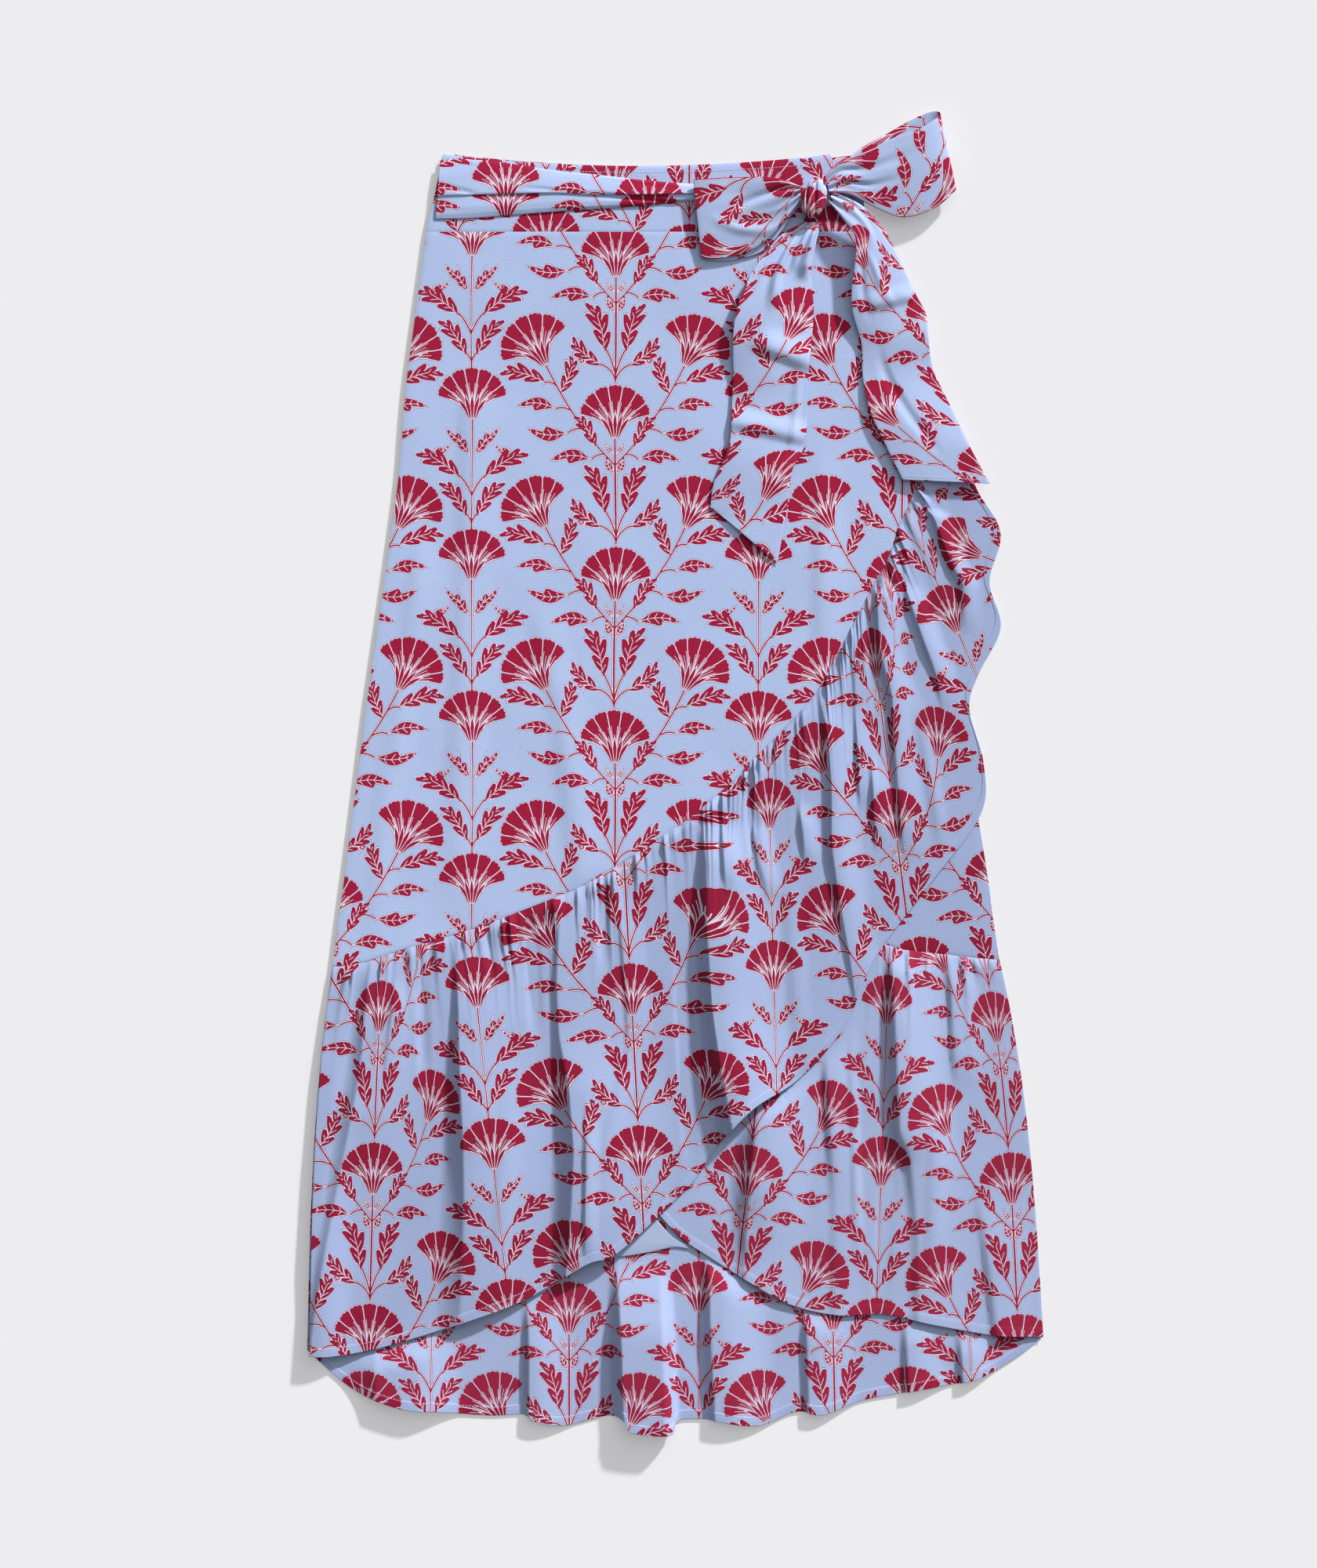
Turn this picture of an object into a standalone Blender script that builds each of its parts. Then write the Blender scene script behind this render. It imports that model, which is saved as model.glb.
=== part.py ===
"""Wrap skirt with a high-low gathered ruffle and a bow, laid flat on a surface.

The skirt lies on Z = 0 with its waist towards +Y and its front facing +Z. Its cloth is built as
walls that lie on each other: the back, the under front and the over front, each with its own
waistband, panel and ruffle, and on top of them the tie with its knot, two loops and two tails.
Blender works in metres; the sizes and tables below are in millimetres.
"""

import math

import bmesh
import bpy
from mathutils import Vector

MM = 0.001

# Cloth
WALL = 1.2                      # thickness of a cloth wall
GAP = 0.3                       # clearance between two pieces at a seam or in a stack
LAYER = WALL + GAP              # height that one flat layer takes in the stack

# Waist
WAISTBAND_TOP = 486.0           # height of the waistband's upper edge above the origin, along Y
WAISTBAND_SEAM = 431.0          # where the panels are sewn to the waistband
WAISTBAND_DIP = 9.0             # the upper edge sags by this much between the side seams
WAISTBAND_DIP_POWER = 0.8       # below 1 the sag is flatter along its middle
WAISTBAND_COLUMNS = 8
WAISTBAND_ROWS = 2
WAIST_LEFT = -187.0
WAIST_RIGHT = 148.0
FRONT_WAISTBAND_END = 124.0     # the over front's waistband ends under the knot
UNDER_INSET = 12.0              # the under front's free edge stays this far inside the side seam

# Gathers
OVER_COLUMNS = 132              # two columns of faces a gather, so 66 gathers
OVER_PANEL_COLUMNS = 22
UNDER_COLUMNS = 60
UNDER_PANEL_COLUMNS = 15
BACK_COLUMNS = 55
BACK_PANEL_COLUMNS = 11
GATHER_HEIGHT = 3.6             # rise of a gather beside the seam
GATHER_PEAK = 9.0               # distance from the seam at which a gather is highest
GATHER_REACH = 48.0             # distance over which a gather fades
GATHER_UNEVENNESS = 0.28        # share by which gathers differ in height
REACH_UNEVENNESS = 0.4          # share by which they differ in reach
GATHER_PHASE = 2.4              # step of the unevenness from one column to the next, in radians
SEAM_RISE = 0.25                # share of its height that a gather has at the seam itself
SEAM_GAP = 0.45                 # seam clearance measured down the ruffle, which slants to the seam
FOLD_RELEASE = 28.0             # a covered layer lies flat and rises again over this distance

# Side seams, from the waistband seam to the ruffle seam. Columns: x, y
LEFT_SIDE = [
    (-197, 431), (-206, 366), (-214, 304), (-219, 241), (-227, 179), (-236, 116), (-245, 54),
    (-253, -9), (-261, -71), (-267, -115), (-272, -154),
]
RIGHT_SIDE = [
    (153, 431), (163, 366), (172, 304), (181, 241), (193, 179), (206, 116), (222, 54),
    (237, -9), (248, -71), (254, -115), (259, -149),
]
OVER_FREE_EDGE = [(153, 431), (164, 366), (175, 304), (188, 257)]
UNDER_FREE_EDGE = [(-185, 431), (-194, 366), (-202, 304), (-206, 257)]

# Ruffles, from the side seam along the ruffle seam. Columns: seam x, seam y, hem x, hem y
OVER_RUFFLE = [
    (-272, -154, -290, -464), (-249, -151, -270, -464), (-224, -143, -231, -457),
    (-194, -134, -169, -438), (-149, -120, -118, -419), (-90, -97, -70, -391),
    (-59, -82, -44, -381), (-6, -48, 12, -329), (12, -36, 28, -306), (47, -6, 39, -291),
    (62, 10, 64, -266), (88, 36, 100, -243), (114, 66, 136, -201), (141, 116, 159, -149),
    (159, 151, 201, -92), (168, 166, 244, -34), (174, 182, 249, 7), (179, 198, 235, 51),
    (185, 210, 242, 78), (189, 219, 260, 116), (192, 228, 251, 152), (192, 238, 260, 191),
    (190, 248, 242, 224), (188, 257, 232, 249),
]
UNDER_RUFFLE = [
    (259, -149, 294, -449), (235, -147, 255, -448), (210, -144, 209, -440),
    (192, -142, 191, -436), (175, -139, 166, -431), (150, -128, 131, -432),
    (125, -115, 94, -424), (94, -96, 59, -405), (56, -79, 27, -385), (19, -56, 1, -366),
    (-19, -28, -38, -321), (-56, 7, -75, -278), (-100, 54, -112, -234), (-131, 104, -162, -165),
    (-162, 154, -198, -102), (-184, 191, -222, -34), (-197, 216, -219, 54),
    (-204, 241, -213, 141), (-206, 257, -204, 241),
]
BACK_RUFFLE = [
    (-272, -154, -294, -446), (-244, -162, -256, -492), (-212, -165, -219, -508),
    (-181, -168, -184, -509), (-150, -170, -147, -512), (-122, -171, -120, -511),
    (-112, -171, -112, -516), (-88, -172, -88, -520), (-59, -173, -53, -512),
    (-44, -173, -39, -516), (-38, -173, -34, -524), (-8, -173, -3, -526.4), (0, -173, 3, -516),
    (25, -172, 25, -515), (62, -172, 66, -520), (88, -171, 97, -509), (112, -170, 119, -511),
    (141, -169, 150, -500), (169, -167, 181, -494), (200, -164, 216, -488),
    (228, -159, 244, -482), (244, -156, 272, -466), (259, -149, 294, -449),
]

# Where the rows of faces cross a ruffle, as shares of its depth
OVER_ROWS = [0.0, 0.035, 0.09, 0.19, 0.36, 0.57, 0.79, 1.0]
UNDER_ROWS = [0.0, 0.04, 0.1, 0.2, 0.33, 0.47, 0.6, 0.73, 0.87, 1.0]
BACK_ROWS = [0.0, 0.35, 0.62, 0.74, 0.8, 0.86, 0.93, 1.0]
PANEL_ROWS = 6

# Large folds that run from a ruffle's seam to its hem.
# Columns: place along the seam, width before it and after it (as shares of the seam),
# height, and the share of the depth over which it rises
OVER_FOLDS = [
    (0.045, 0.012, 0.030, 6.0, 0.25), (0.095, 0.015, 0.020, 3.5, 0.35),
    (0.140, 0.015, 0.045, 8.0, 0.30), (0.215, 0.020, 0.030, 4.5, 0.35),
    (0.292, 0.010, 0.060, 10.0, 0.20), (0.385, 0.040, 0.030, 8.0, 0.30),
    (0.440, 0.025, 0.020, 6.0, 0.40), (0.543, 0.012, 0.060, 14.0, 0.25),
    (0.635, 0.035, 0.035, 7.0, 0.40), (0.705, 0.012, 0.030, 7.0, 0.30),
    (0.760, 0.020, 0.020, 4.0, 0.30), (0.812, 0.010, 0.025, 7.0, 0.20),
    (0.860, 0.015, 0.020, 4.0, 0.40), (0.905, 0.018, 0.020, 5.0, 0.50),
    (0.955, 0.015, 0.015, 5.0, 0.40),
]
UNDER_FOLDS = [
    (0.060, 0.020, 0.025, 4.0, 0.40), (0.135, 0.020, 0.016, 6.0, 0.25),
    (0.205, 0.025, 0.025, 5.0, 0.40), (0.300, 0.030, 0.030, 5.0, 0.50),
    (0.390, 0.020, 0.030, 4.0, 0.50),
]
BACK_FOLDS = [
    (0.160, 0.050, 0.050, 6.0, 0.80), (0.335, 0.020, 0.070, 9.0, 0.80),
    (0.470, 0.040, 0.040, 11.0, 0.80), (0.620, 0.060, 0.060, 8.0, 0.80),
    (0.725, 0.040, 0.040, 6.0, 0.80), (0.830, 0.050, 0.050, 6.0, 0.80),
]

# The stretch of the under ruffle's hem that is turned under and shows its wrong side.
# Columns: upper x, upper y, lower x, lower y
TURNED_HEM = [
    (-78, -359, -72, -391), (-56, -342, -51, -386), (-38, -334, -34, -384),
    (-21, -348, -17, -381), (-3, -368, -1, -378), (9, -376, 11, -379),
]
TURNED_HEM_COLUMNS = 12
TURNED_HEM_ROWS = 2

# The tie where it crosses the front waistband, from the side seam to the knot.
# Columns: x, upper edge y, fold y, lower edge y, fold height
TIE_BAND = [
    (-189, 485, 458, 441, 3.0), (-163, 484, 459, 441, 3.0), (-125, 482, 461, 444, 3.4),
    (-94, 479, 461, 447, 3.6), (-63, 475, 459, 449, 3.6), (-25, 471, 459, 451, 3.4),
    (15, 468, 461, 455, 3.0), (62, 466, 461, 454, 2.6), (99, 464, 460, 452, 2.4),
]
TIE_BAND_COLUMNS = 22
TIE_FLOOR = 3 * LAYER           # the tie lies on three layers of cloth

# Section of the tie band. Columns: way down, where 1 is the fold and 2 the lower edge, and
# share of the fold height
TIE_BAND_SECTION = [
    (0.0, 0.0), (0.3, 0.45), (0.7, 0.85), (0.96, 1.0), (1.0, 0.25), (1.5, 0.5), (2.0, 0.0),
]

# The bow's strips, each a row of sections from the knot. Columns: one edge's x, y and z, then
# the other edge's x, y and z. A loop goes out on top, turns at its far end and comes back below
LOOP_LEFT = [
    (100, 466, 17.0, 100, 455, 17.0), (78, 473, 17.5, 78, 428, 15.5),
    (47, 473, 17.0, 50, 411, 14.5), (24, 472, 16.0, 30, 410, 13.5),
    (15, 471, 12.8, 22, 411, 10.6), (24, 470, 10.0, 31, 407, 7.8),
    (47, 469, 10.0, 50, 407, 7.2), (78, 466, 10.0, 75, 416, 7.2), (100, 463, 10.0, 100, 453, 9.0),
]
LOOP_RIGHT = [
    (120, 473, 16.0, 123, 461, 15.0), (130, 485, 18.0, 140, 459, 15.5),
    (149, 492, 21.0, 162, 450, 16.5), (172, 503, 24.0, 183, 444, 18.0),
    (194, 511, 25.0, 206, 452, 19.0), (207, 519, 22.0, 218, 462, 17.5),
    (211, 524.4, 16.5, 222, 466, 13.5), (204, 526.4, 11.0, 215, 467, 9.5),
    (187, 519, 8.0, 198, 460, 7.6), (168, 508, 7.6, 180, 452, 7.4),
    (146, 495, 8.0, 154, 457, 8.0), (123, 473, 9.5, 126, 460, 9.5),
]
TAIL_LEFT = [
    (103, 438, 6.0, 117, 438, 6.0), (84, 427, 5.8, 113, 422, 8.0),
    (60, 394, 9.0, 109, 397, 7.0), (48, 359, 10.0, 111, 366, 6.2), (47, 316, 6.0, 107, 322, 8.0),
    (46, 296, 6.5, 106, 298, 7.0), (44, 262, 9.0, 104, 262, 6.0), (32, 232, 7.0, 94, 241, 8.5),
    (29, 213, 5.8, 89, 205, 7.0), (30, 211, 5.6, 82, 167, 5.8),
]
TAIL_RIGHT = [
    (122.4, 454, 12.0, 126, 461, 12.5), (134, 439, 11.0, 149, 452, 12.5),
    (143, 427, 10.0, 166, 436, 12.0), (144, 410, 9.0, 178, 413, 9.5),
    (141, 384, 7.5, 192, 383, 8.0), (142, 366, 5.8, 202, 366, 9.0),
    (149, 341, 5.8, 204, 347, 11.0), (150, 316, 7.5, 208, 322, 8.0),
    (156, 288, 9.5, 223, 291, 9.0), (169, 259, 9.0, 238, 258, 11.0),
    (182, 233, 9.0, 252, 230, 10.0),
]

# Columns: name, sections, faces along the strip
STRIPS = [
    ("bow_loop_left", LOOP_LEFT, 20), ("bow_loop_right", LOOP_RIGHT, 24),
    ("tail_left", TAIL_LEFT, 16), ("tail_right", TAIL_RIGHT, 18),
]
STRIP_ACROSS = 5                # faces across a strip
STRIP_CROWN = 1.2               # rise of a strip's middle over its edges

# Knot: a tight wrap, wider than it is high
KNOT_CENTRE = (111.5, 457.0, 14.0)
KNOT_RADII = (10.5, 17.5, 9.0)
KNOT_TURN = math.radians(-14)
KNOT_GROOVE = 2.2               # depth of the creases between the wrap's folds
KNOT_CREASES = 5.2              # how closely the creases follow each other across the knot
KNOT_SEGMENTS = 20
KNOT_RINGS = 12

# Dyed cotton seen from a step away: print and ground together
CLOTH_COLOURS = {
    "back": (0.42, 0.37, 0.62, 1.0),
    "under": (0.38, 0.34, 0.62, 1.0),
    "over": (0.36, 0.38, 0.68, 1.0),
    "tie": (0.44, 0.50, 0.78, 1.0),
    "turned": (0.50, 0.60, 0.82, 1.0),
}
CLOTH_ROUGHNESS = 0.85
SHARP_ANGLE = math.radians(50)  # edges that bend more than this are shaded as edges


# ---------------------------------------------------------------- curves and tables

def table_row(rows, place):
    """A table's columns at a place from 0 to 1, on a Catmull-Rom curve through its rows."""
    span = place * (len(rows) - 1)
    first = min(int(span), len(rows) - 2)
    part = span - first
    before = rows[max(first - 1, 0)]
    start = rows[first]
    end = rows[first + 1]
    after = rows[min(first + 2, len(rows) - 1)]
    square = part * part
    cube = square * part
    weights = (
        (-cube + 2 * square - part) / 2,
        (3 * cube - 5 * square + 2) / 2,
        (-3 * cube + 4 * square + part) / 2,
        (cube - square) / 2,
    )
    return [sum(w * v for w, v in zip(weights, column)) for column in zip(before, start, end, after)]


def even_rows(rows, count):
    """count + 1 rows of a table, evenly spaced along the line of its first two columns."""
    steps = 10 * count
    fine = [table_row(rows, step / steps) for step in range(steps + 1)]
    travelled = [0.0]
    for one, two in zip(fine, fine[1:]):
        travelled.append(travelled[-1] + math.dist(one[:2], two[:2]))
    spaced = []
    step = 0
    for index in range(count + 1):
        target = travelled[-1] * index / count
        while step < steps and travelled[step] < target:
            step += 1
        spaced.append(fine[step])
    return spaced


def blend(low, high, value):
    """0 below low, 1 above high and a smooth step between them."""
    part = min(max((value - low) / (high - low), 0.0), 1.0)
    return part * part * (3 - 2 * part)


def mix(one, two, part):
    return tuple(a + (b - a) * part for a, b in zip(one, two))


def uncovered(point, outline):
    """Distance from a point to a closed outline, or 0 where the point is inside it."""
    x, y = point
    inside = False
    nearest = math.inf
    for one, two in zip(outline, outline[1:] + outline[:1]):
        if (one[1] > y) != (two[1] > y):
            crossing = one[0] + (y - one[1]) * (two[0] - one[0]) / (two[1] - one[1])
            inside = inside != (crossing > x)
        along = Vector(two) - Vector(one)
        part = (Vector(point) - Vector(one)).dot(along) / max(along.length_squared, 1e-9)
        foot = Vector(one) + along * min(max(part, 0.0), 1.0)
        nearest = min(nearest, (Vector(point) - foot).length)
    return 0.0 if inside else nearest


# ---------------------------------------------------------------- walls

def cloth_material(kind):
    material = bpy.data.materials.new("cloth_" + kind)
    material.use_nodes = True
    shader = material.node_tree.nodes["Principled BSDF"]
    shader.inputs["Base Color"].default_value = CLOTH_COLOURS[kind]
    shader.inputs["Roughness"].default_value = CLOTH_ROUGHNESS
    shader.inputs["Metallic"].default_value = 0.0
    material.diffuse_color = CLOTH_COLOURS[kind]
    return material


def finish(name, mesh, kind):
    """Turns a bmesh into the named object."""
    bmesh.ops.recalc_face_normals(mesh, faces=mesh.faces)
    data = bpy.data.meshes.new(name)
    mesh.to_mesh(data)
    mesh.free()
    data.materials.append(cloth_material(kind))
    data.shade_smooth()
    data.set_sharp_from_angle(angle=SHARP_ANGLE)
    part = bpy.data.objects.new(name, data)
    bpy.context.scene.collection.objects.link(part)
    return part


def wall(name, kind, columns, rows, place, along_normal=False):
    """A wall over a grid: place(column, row) gives the upper side's point, in millimetres.

    The wall reaches down by its thickness, or along its own normal where the strip turns over.
    """
    mesh = bmesh.new()
    bmesh.ops.create_grid(mesh, x_segments=columns, y_segments=rows, size=0.5)
    for vertex in mesh.verts:
        column = round((vertex.co.x + 0.5) * columns)
        row = round((0.5 - vertex.co.y) * rows)
        vertex.co = Vector(place(column, row)) * MM
    mesh.normal_update()
    inward = mesh.verts.layers.float_vector.new("inward")
    for vertex in mesh.verts:
        outward = vertex.normal if along_normal else Vector((0, 0, 1))
        vertex[inward] = -outward * WALL * MM
    grown = bmesh.ops.extrude_face_region(mesh, geom=mesh.faces[:])
    for vertex in [item for item in grown["geom"] if isinstance(item, bmesh.types.BMVert)]:
        vertex.co += vertex[inward]
    return finish(name, mesh, kind)


# ---------------------------------------------------------------- waistbands and panels

def waistband(name, kind, layer, left, right, left_seam, right_seam):
    """A straight band whose upper edge dips a little between the side seams."""

    def place(column, row):
        part = column / WAISTBAND_COLUMNS
        dip = WAISTBAND_DIP * math.sin(math.pi * part) ** WAISTBAND_DIP_POWER
        upper = (left + (right - left) * part, WAISTBAND_TOP - dip)
        lower = (left_seam + (right_seam - left_seam) * part, WAISTBAND_SEAM + GAP)
        return (*mix(upper, lower, row / WAISTBAND_ROWS), layer * LAYER + WALL)

    return wall(name, kind, WAISTBAND_COLUMNS, WAISTBAND_ROWS, place)


def panel(name, kind, layer, seam, left, right):
    """A flat panel on a Coons patch between the waistband seam, the ruffle seam and two sides."""
    columns = len(seam) - 1
    corners = (left[0], right[0], seam[0], seam[-1])

    def place(column, row):
        across = column / columns
        down = row / PANEL_ROWS
        upper = mix(corners[0], corners[1], across)
        sides = mix(table_row(left, down), table_row(right, down), across)
        plain = mix(upper, mix(corners[2], corners[3], across), down)
        between = mix(upper, seam[column], down)
        x, y = (a + b - c for a, b, c in zip(between, sides, plain))
        return (x, y, layer * LAYER + WALL)

    return wall(name, kind, columns, PANEL_ROWS, place)


# ---------------------------------------------------------------- ruffles

def seam_line(stations, step):
    """The ruffle seam as the panel has it: every step-th station, joined by straight lines."""
    line = []
    for index in range(len(stations)):
        first = min(index // step * step, len(stations) - 1 - step)
        line.append(mix(stations[first][:2], stations[first + step][:2], (index - first) / step))
    return line


def fold_height(folds, place, depth_share):
    """Height of the large folds at a place along the seam and a share of the ruffle's depth."""
    height = 0.0
    for centre, before, after, rise, start in folds:
        side = before if place < centre else after
        distance = abs(place - centre) / side
        if distance < 1:
            height += rise * (1 + math.cos(math.pi * distance)) / 2 * blend(0, start, depth_share)
    return height


def gather_height(column, distance):
    """Height of the gathers: each column is a crest or a valley, and no two are alike."""
    if column % 2 == 0:
        return 0.0
    uneven = 1 - GATHER_UNEVENNESS * (1 - math.sin(column * GATHER_PHASE))
    reach = GATHER_REACH * (1 - REACH_UNEVENNESS * math.cos(column * GATHER_PHASE))
    fade = math.exp(-max(distance - GATHER_PEAK, 0.0) / reach)
    rise = SEAM_RISE + (1 - SEAM_RISE) * blend(0, GATHER_PEAK, distance)
    return GATHER_HEIGHT * uneven * fade * rise


def open_distances(spots, covers):
    """How far each grid point lies outside every cover; 0 where it or a neighbour is covered."""
    bare = [[min((uncovered(spot, cover) for cover in covers), default=FOLD_RELEASE)
             for spot in line] for line in spots]
    free = []
    for column, line in enumerate(bare):
        near = bare[max(column - 1, 0):column + 2]
        free.append([
            value if min(min(other[max(row - 1, 0):row + 2]) for other in near) > 0 else 0.0
            for row, value in enumerate(line)])
    return free


def ruffle(name, kind, layer, stations, step, shares, folds, covers):
    """A gathered ruffle from its panel's seam to its hem, flat wherever a cover lies on it."""
    seam = seam_line(stations, step)
    columns = len(stations) - 1
    spots = []
    depths = []
    for upper, station in zip(seam, stations):
        upper = Vector(upper)
        down = Vector(station[2:]) - upper
        depths.append(down.length)
        upper += down.normalized() * SEAM_GAP
        spots.append([tuple(upper.lerp(Vector(station[2:]), share)) for share in shares])
    free = open_distances(spots, covers)

    def place(column, row):
        height = gather_height(column, shares[row] * depths[column])
        height += fold_height(folds, column / columns, shares[row])
        height *= blend(0, FOLD_RELEASE, free[column][row])
        return (*spots[column][row], layer * LAYER + WALL + height)

    return wall(name, kind, columns, len(shares) - 1, place)


def front_outline(stations, free_edge, side):
    """Outline of a front: its side seam, its ruffle's free edges and its hem."""
    hem = [row[2:] for row in stations]
    return [tuple(p) for p in side] + [tuple(p) for p in hem] + [tuple(p) for p in free_edge[::-1]]


def turned_hem():
    """The stretch of the under ruffle's hem that is turned under."""

    def place(column, row):
        edges = table_row(TURNED_HEM, column / TURNED_HEM_COLUMNS)
        return (*mix(edges[:2], edges[2:], row / TURNED_HEM_ROWS), LAYER + WALL)

    return wall("under_ruffle_turned_hem", "turned", TURNED_HEM_COLUMNS, TURNED_HEM_ROWS, place)


# ---------------------------------------------------------------- the tie

def tie_band():
    """The tie across the front waistband, folded lengthwise: its upper part laps the lower."""

    def place(column, row):
        x, upper, fold, lower, height = table_row(TIE_BAND, column / TIE_BAND_COLUMNS)
        down, lift = TIE_BAND_SECTION[row]
        if down <= 1:
            y = upper + (fold - upper) * down
        else:
            y = fold + (lower - fold) * (down - 1)
        return (x, y, TIE_FLOOR + WALL + height * lift)

    return wall("tie_band", "tie", TIE_BAND_COLUMNS, len(TIE_BAND_SECTION) - 1, place)


def strip(name, rows, steps):
    """A strip of the tie over a row of sections, crowned across its width."""

    def place(column, row):
        section = table_row(rows, row / steps)
        across = column / STRIP_ACROSS
        x, y, z = mix(section[:3], section[3:], across)
        return (x, y, z + STRIP_CROWN * math.sin(math.pi * across))

    return wall(name, "tie", STRIP_ACROSS, steps, place, along_normal=True)


def knot():
    """The knot: a rounded lump, flat below, with slanting creases between its folds."""
    mesh = bmesh.new()
    bmesh.ops.create_uvsphere(
        mesh, u_segments=KNOT_SEGMENTS, v_segments=KNOT_RINGS, radius=1.0)
    for vertex in mesh.verts:
        unit = vertex.co.copy()
        crease = KNOT_GROOVE * math.cos(KNOT_CREASES * unit.x + unit.y) ** 6
        x = unit.x * KNOT_RADII[0]
        y = unit.y * (KNOT_RADII[1] - crease)
        turned_x = x * math.cos(KNOT_TURN) - y * math.sin(KNOT_TURN)
        turned_y = x * math.sin(KNOT_TURN) + y * math.cos(KNOT_TURN)
        z = max(KNOT_CENTRE[2] + unit.z * (KNOT_RADII[2] - crease), TIE_FLOOR)
        vertex.co = Vector((KNOT_CENTRE[0] + turned_x, KNOT_CENTRE[1] + turned_y, z)) * MM
    return finish("knot", mesh, "tie")


# ---------------------------------------------------------------- the skirt

def remove_everything():
    for item in list(bpy.data.objects):
        bpy.data.objects.remove(item, do_unlink=True)


def build_back(stations, covers):
    step = BACK_COLUMNS // BACK_PANEL_COLUMNS
    seam = [tuple(row[:2]) for row in stations[::step]]
    waistband("back_waistband", "back", 0, WAIST_LEFT, WAIST_RIGHT,
              LEFT_SIDE[0][0], RIGHT_SIDE[0][0])
    panel("back_panel", "back", 0, seam, LEFT_SIDE, RIGHT_SIDE)
    ruffle("back_ruffle", "back", 0, stations, step, BACK_ROWS, BACK_FOLDS, covers)


def build_under(stations, covers):
    step = UNDER_COLUMNS // UNDER_PANEL_COLUMNS
    seam = [tuple(row[:2]) for row in stations[::step]][::-1]
    waistband("under_waistband", "under", 1, WAIST_LEFT + UNDER_INSET, WAIST_RIGHT,
              UNDER_FREE_EDGE[0][0], RIGHT_SIDE[0][0])
    panel("under_panel", "under", 1, seam, UNDER_FREE_EDGE, RIGHT_SIDE)
    ruffle("under_ruffle", "under", 1, stations, step, UNDER_ROWS, UNDER_FOLDS, covers)
    turned_hem()


def build_over(stations):
    step = OVER_COLUMNS // OVER_PANEL_COLUMNS
    seam = [tuple(row[:2]) for row in stations[::step]]
    waistband("front_waistband", "over", 2, WAIST_LEFT, FRONT_WAISTBAND_END,
              LEFT_SIDE[0][0], OVER_FREE_EDGE[0][0])
    panel("over_panel", "over", 2, seam, LEFT_SIDE, OVER_FREE_EDGE)
    ruffle("over_ruffle", "over", 2, stations, step, OVER_ROWS, OVER_FOLDS, [])


def build_tie():
    tie_band()
    knot()
    for name, sections, steps in STRIPS:
        strip(name, sections, steps)


def main():
    remove_everything()
    over = even_rows(OVER_RUFFLE, OVER_COLUMNS)
    under = even_rows(UNDER_RUFFLE, UNDER_COLUMNS)
    back = even_rows(BACK_RUFFLE, BACK_COLUMNS)
    over_outline = front_outline(over, OVER_FREE_EDGE, LEFT_SIDE)
    under_outline = front_outline(under, UNDER_FREE_EDGE, RIGHT_SIDE)
    build_back(back, [over_outline, under_outline])
    build_under(under, [over_outline])
    build_over(over)
    build_tie()


main()
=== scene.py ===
# Wrap skirt laid flat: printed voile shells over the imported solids, with their seams, hems and stitches.
import math
from functools import partial

import bmesh
import bpy
import numpy as np
from mathutils import Matrix, Vector


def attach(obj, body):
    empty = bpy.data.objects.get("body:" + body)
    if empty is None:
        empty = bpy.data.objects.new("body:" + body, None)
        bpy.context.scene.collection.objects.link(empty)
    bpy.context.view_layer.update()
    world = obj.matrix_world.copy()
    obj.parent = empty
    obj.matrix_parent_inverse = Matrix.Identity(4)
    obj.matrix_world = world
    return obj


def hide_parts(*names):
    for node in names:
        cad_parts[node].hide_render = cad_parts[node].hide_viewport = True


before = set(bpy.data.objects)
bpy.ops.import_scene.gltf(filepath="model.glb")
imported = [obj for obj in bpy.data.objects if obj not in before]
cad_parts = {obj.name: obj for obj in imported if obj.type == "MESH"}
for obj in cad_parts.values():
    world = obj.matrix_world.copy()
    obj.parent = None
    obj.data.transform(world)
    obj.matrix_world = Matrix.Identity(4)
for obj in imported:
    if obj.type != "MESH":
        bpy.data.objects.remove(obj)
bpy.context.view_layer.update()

mm = 0.001
print("frame:", len(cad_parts), "solids")

# all sizes below are in millimetres, in the frame of the solids
layers = {"wall": 1.2, "step": 1.5}     # a solid's wall, and the height that each flat layer takes
shellWall = 0.45                        # thickness of the cloth shells
waist = {"top": 493, "seam": 431, "dip": 9.5}
sides = {
    "left": [
        (-197, 431), (-206, 366), (-214, 304), (-219, 241), (-227, 179), (-236, 116), (-245, 54),
        (-253, -9), (-261, -71), (-267, -115), (-272, -154),
    ],
    "right": [
        (153, 431), (163, 366), (172, 304), (181, 241), (193, 179), (206, 116), (222, 54),
        (237, -9), (248, -71), (254, -115), (259, -149),
    ],
    "overFree": [(153, 431), (164, 366), (175, 304), (188, 257)],
    "underFree": [(-185, 431), (-194, 366), (-202, 304), (-206, 257)],
}


# curves and grids of points

def tableRow(rows, place):
    # a table's columns at a place from 0 to 1, on a Catmull-Rom curve through its rows
    span = place * (len(rows) - 1)
    first = min(int(span), len(rows) - 2)
    part = span - first
    picked = [rows[max(first - 1, 0)], rows[first], rows[first + 1], rows[min(first + 2, len(rows) - 1)]]
    square, cube = part ** 2, part ** 3
    weights = [
        (-cube + 2 * square - part) / 2, (3 * cube - 5 * square + 2) / 2,
        (-3 * cube + 4 * square + part) / 2, (cube - square) / 2,
    ]
    return np.array(weights) @ np.array(picked, float)


def smoothRows(rows, count):
    # count + 1 rows at even steps through a table
    return np.array([tableRow(rows, place) for place in np.linspace(0, 1, count + 1)])


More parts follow.
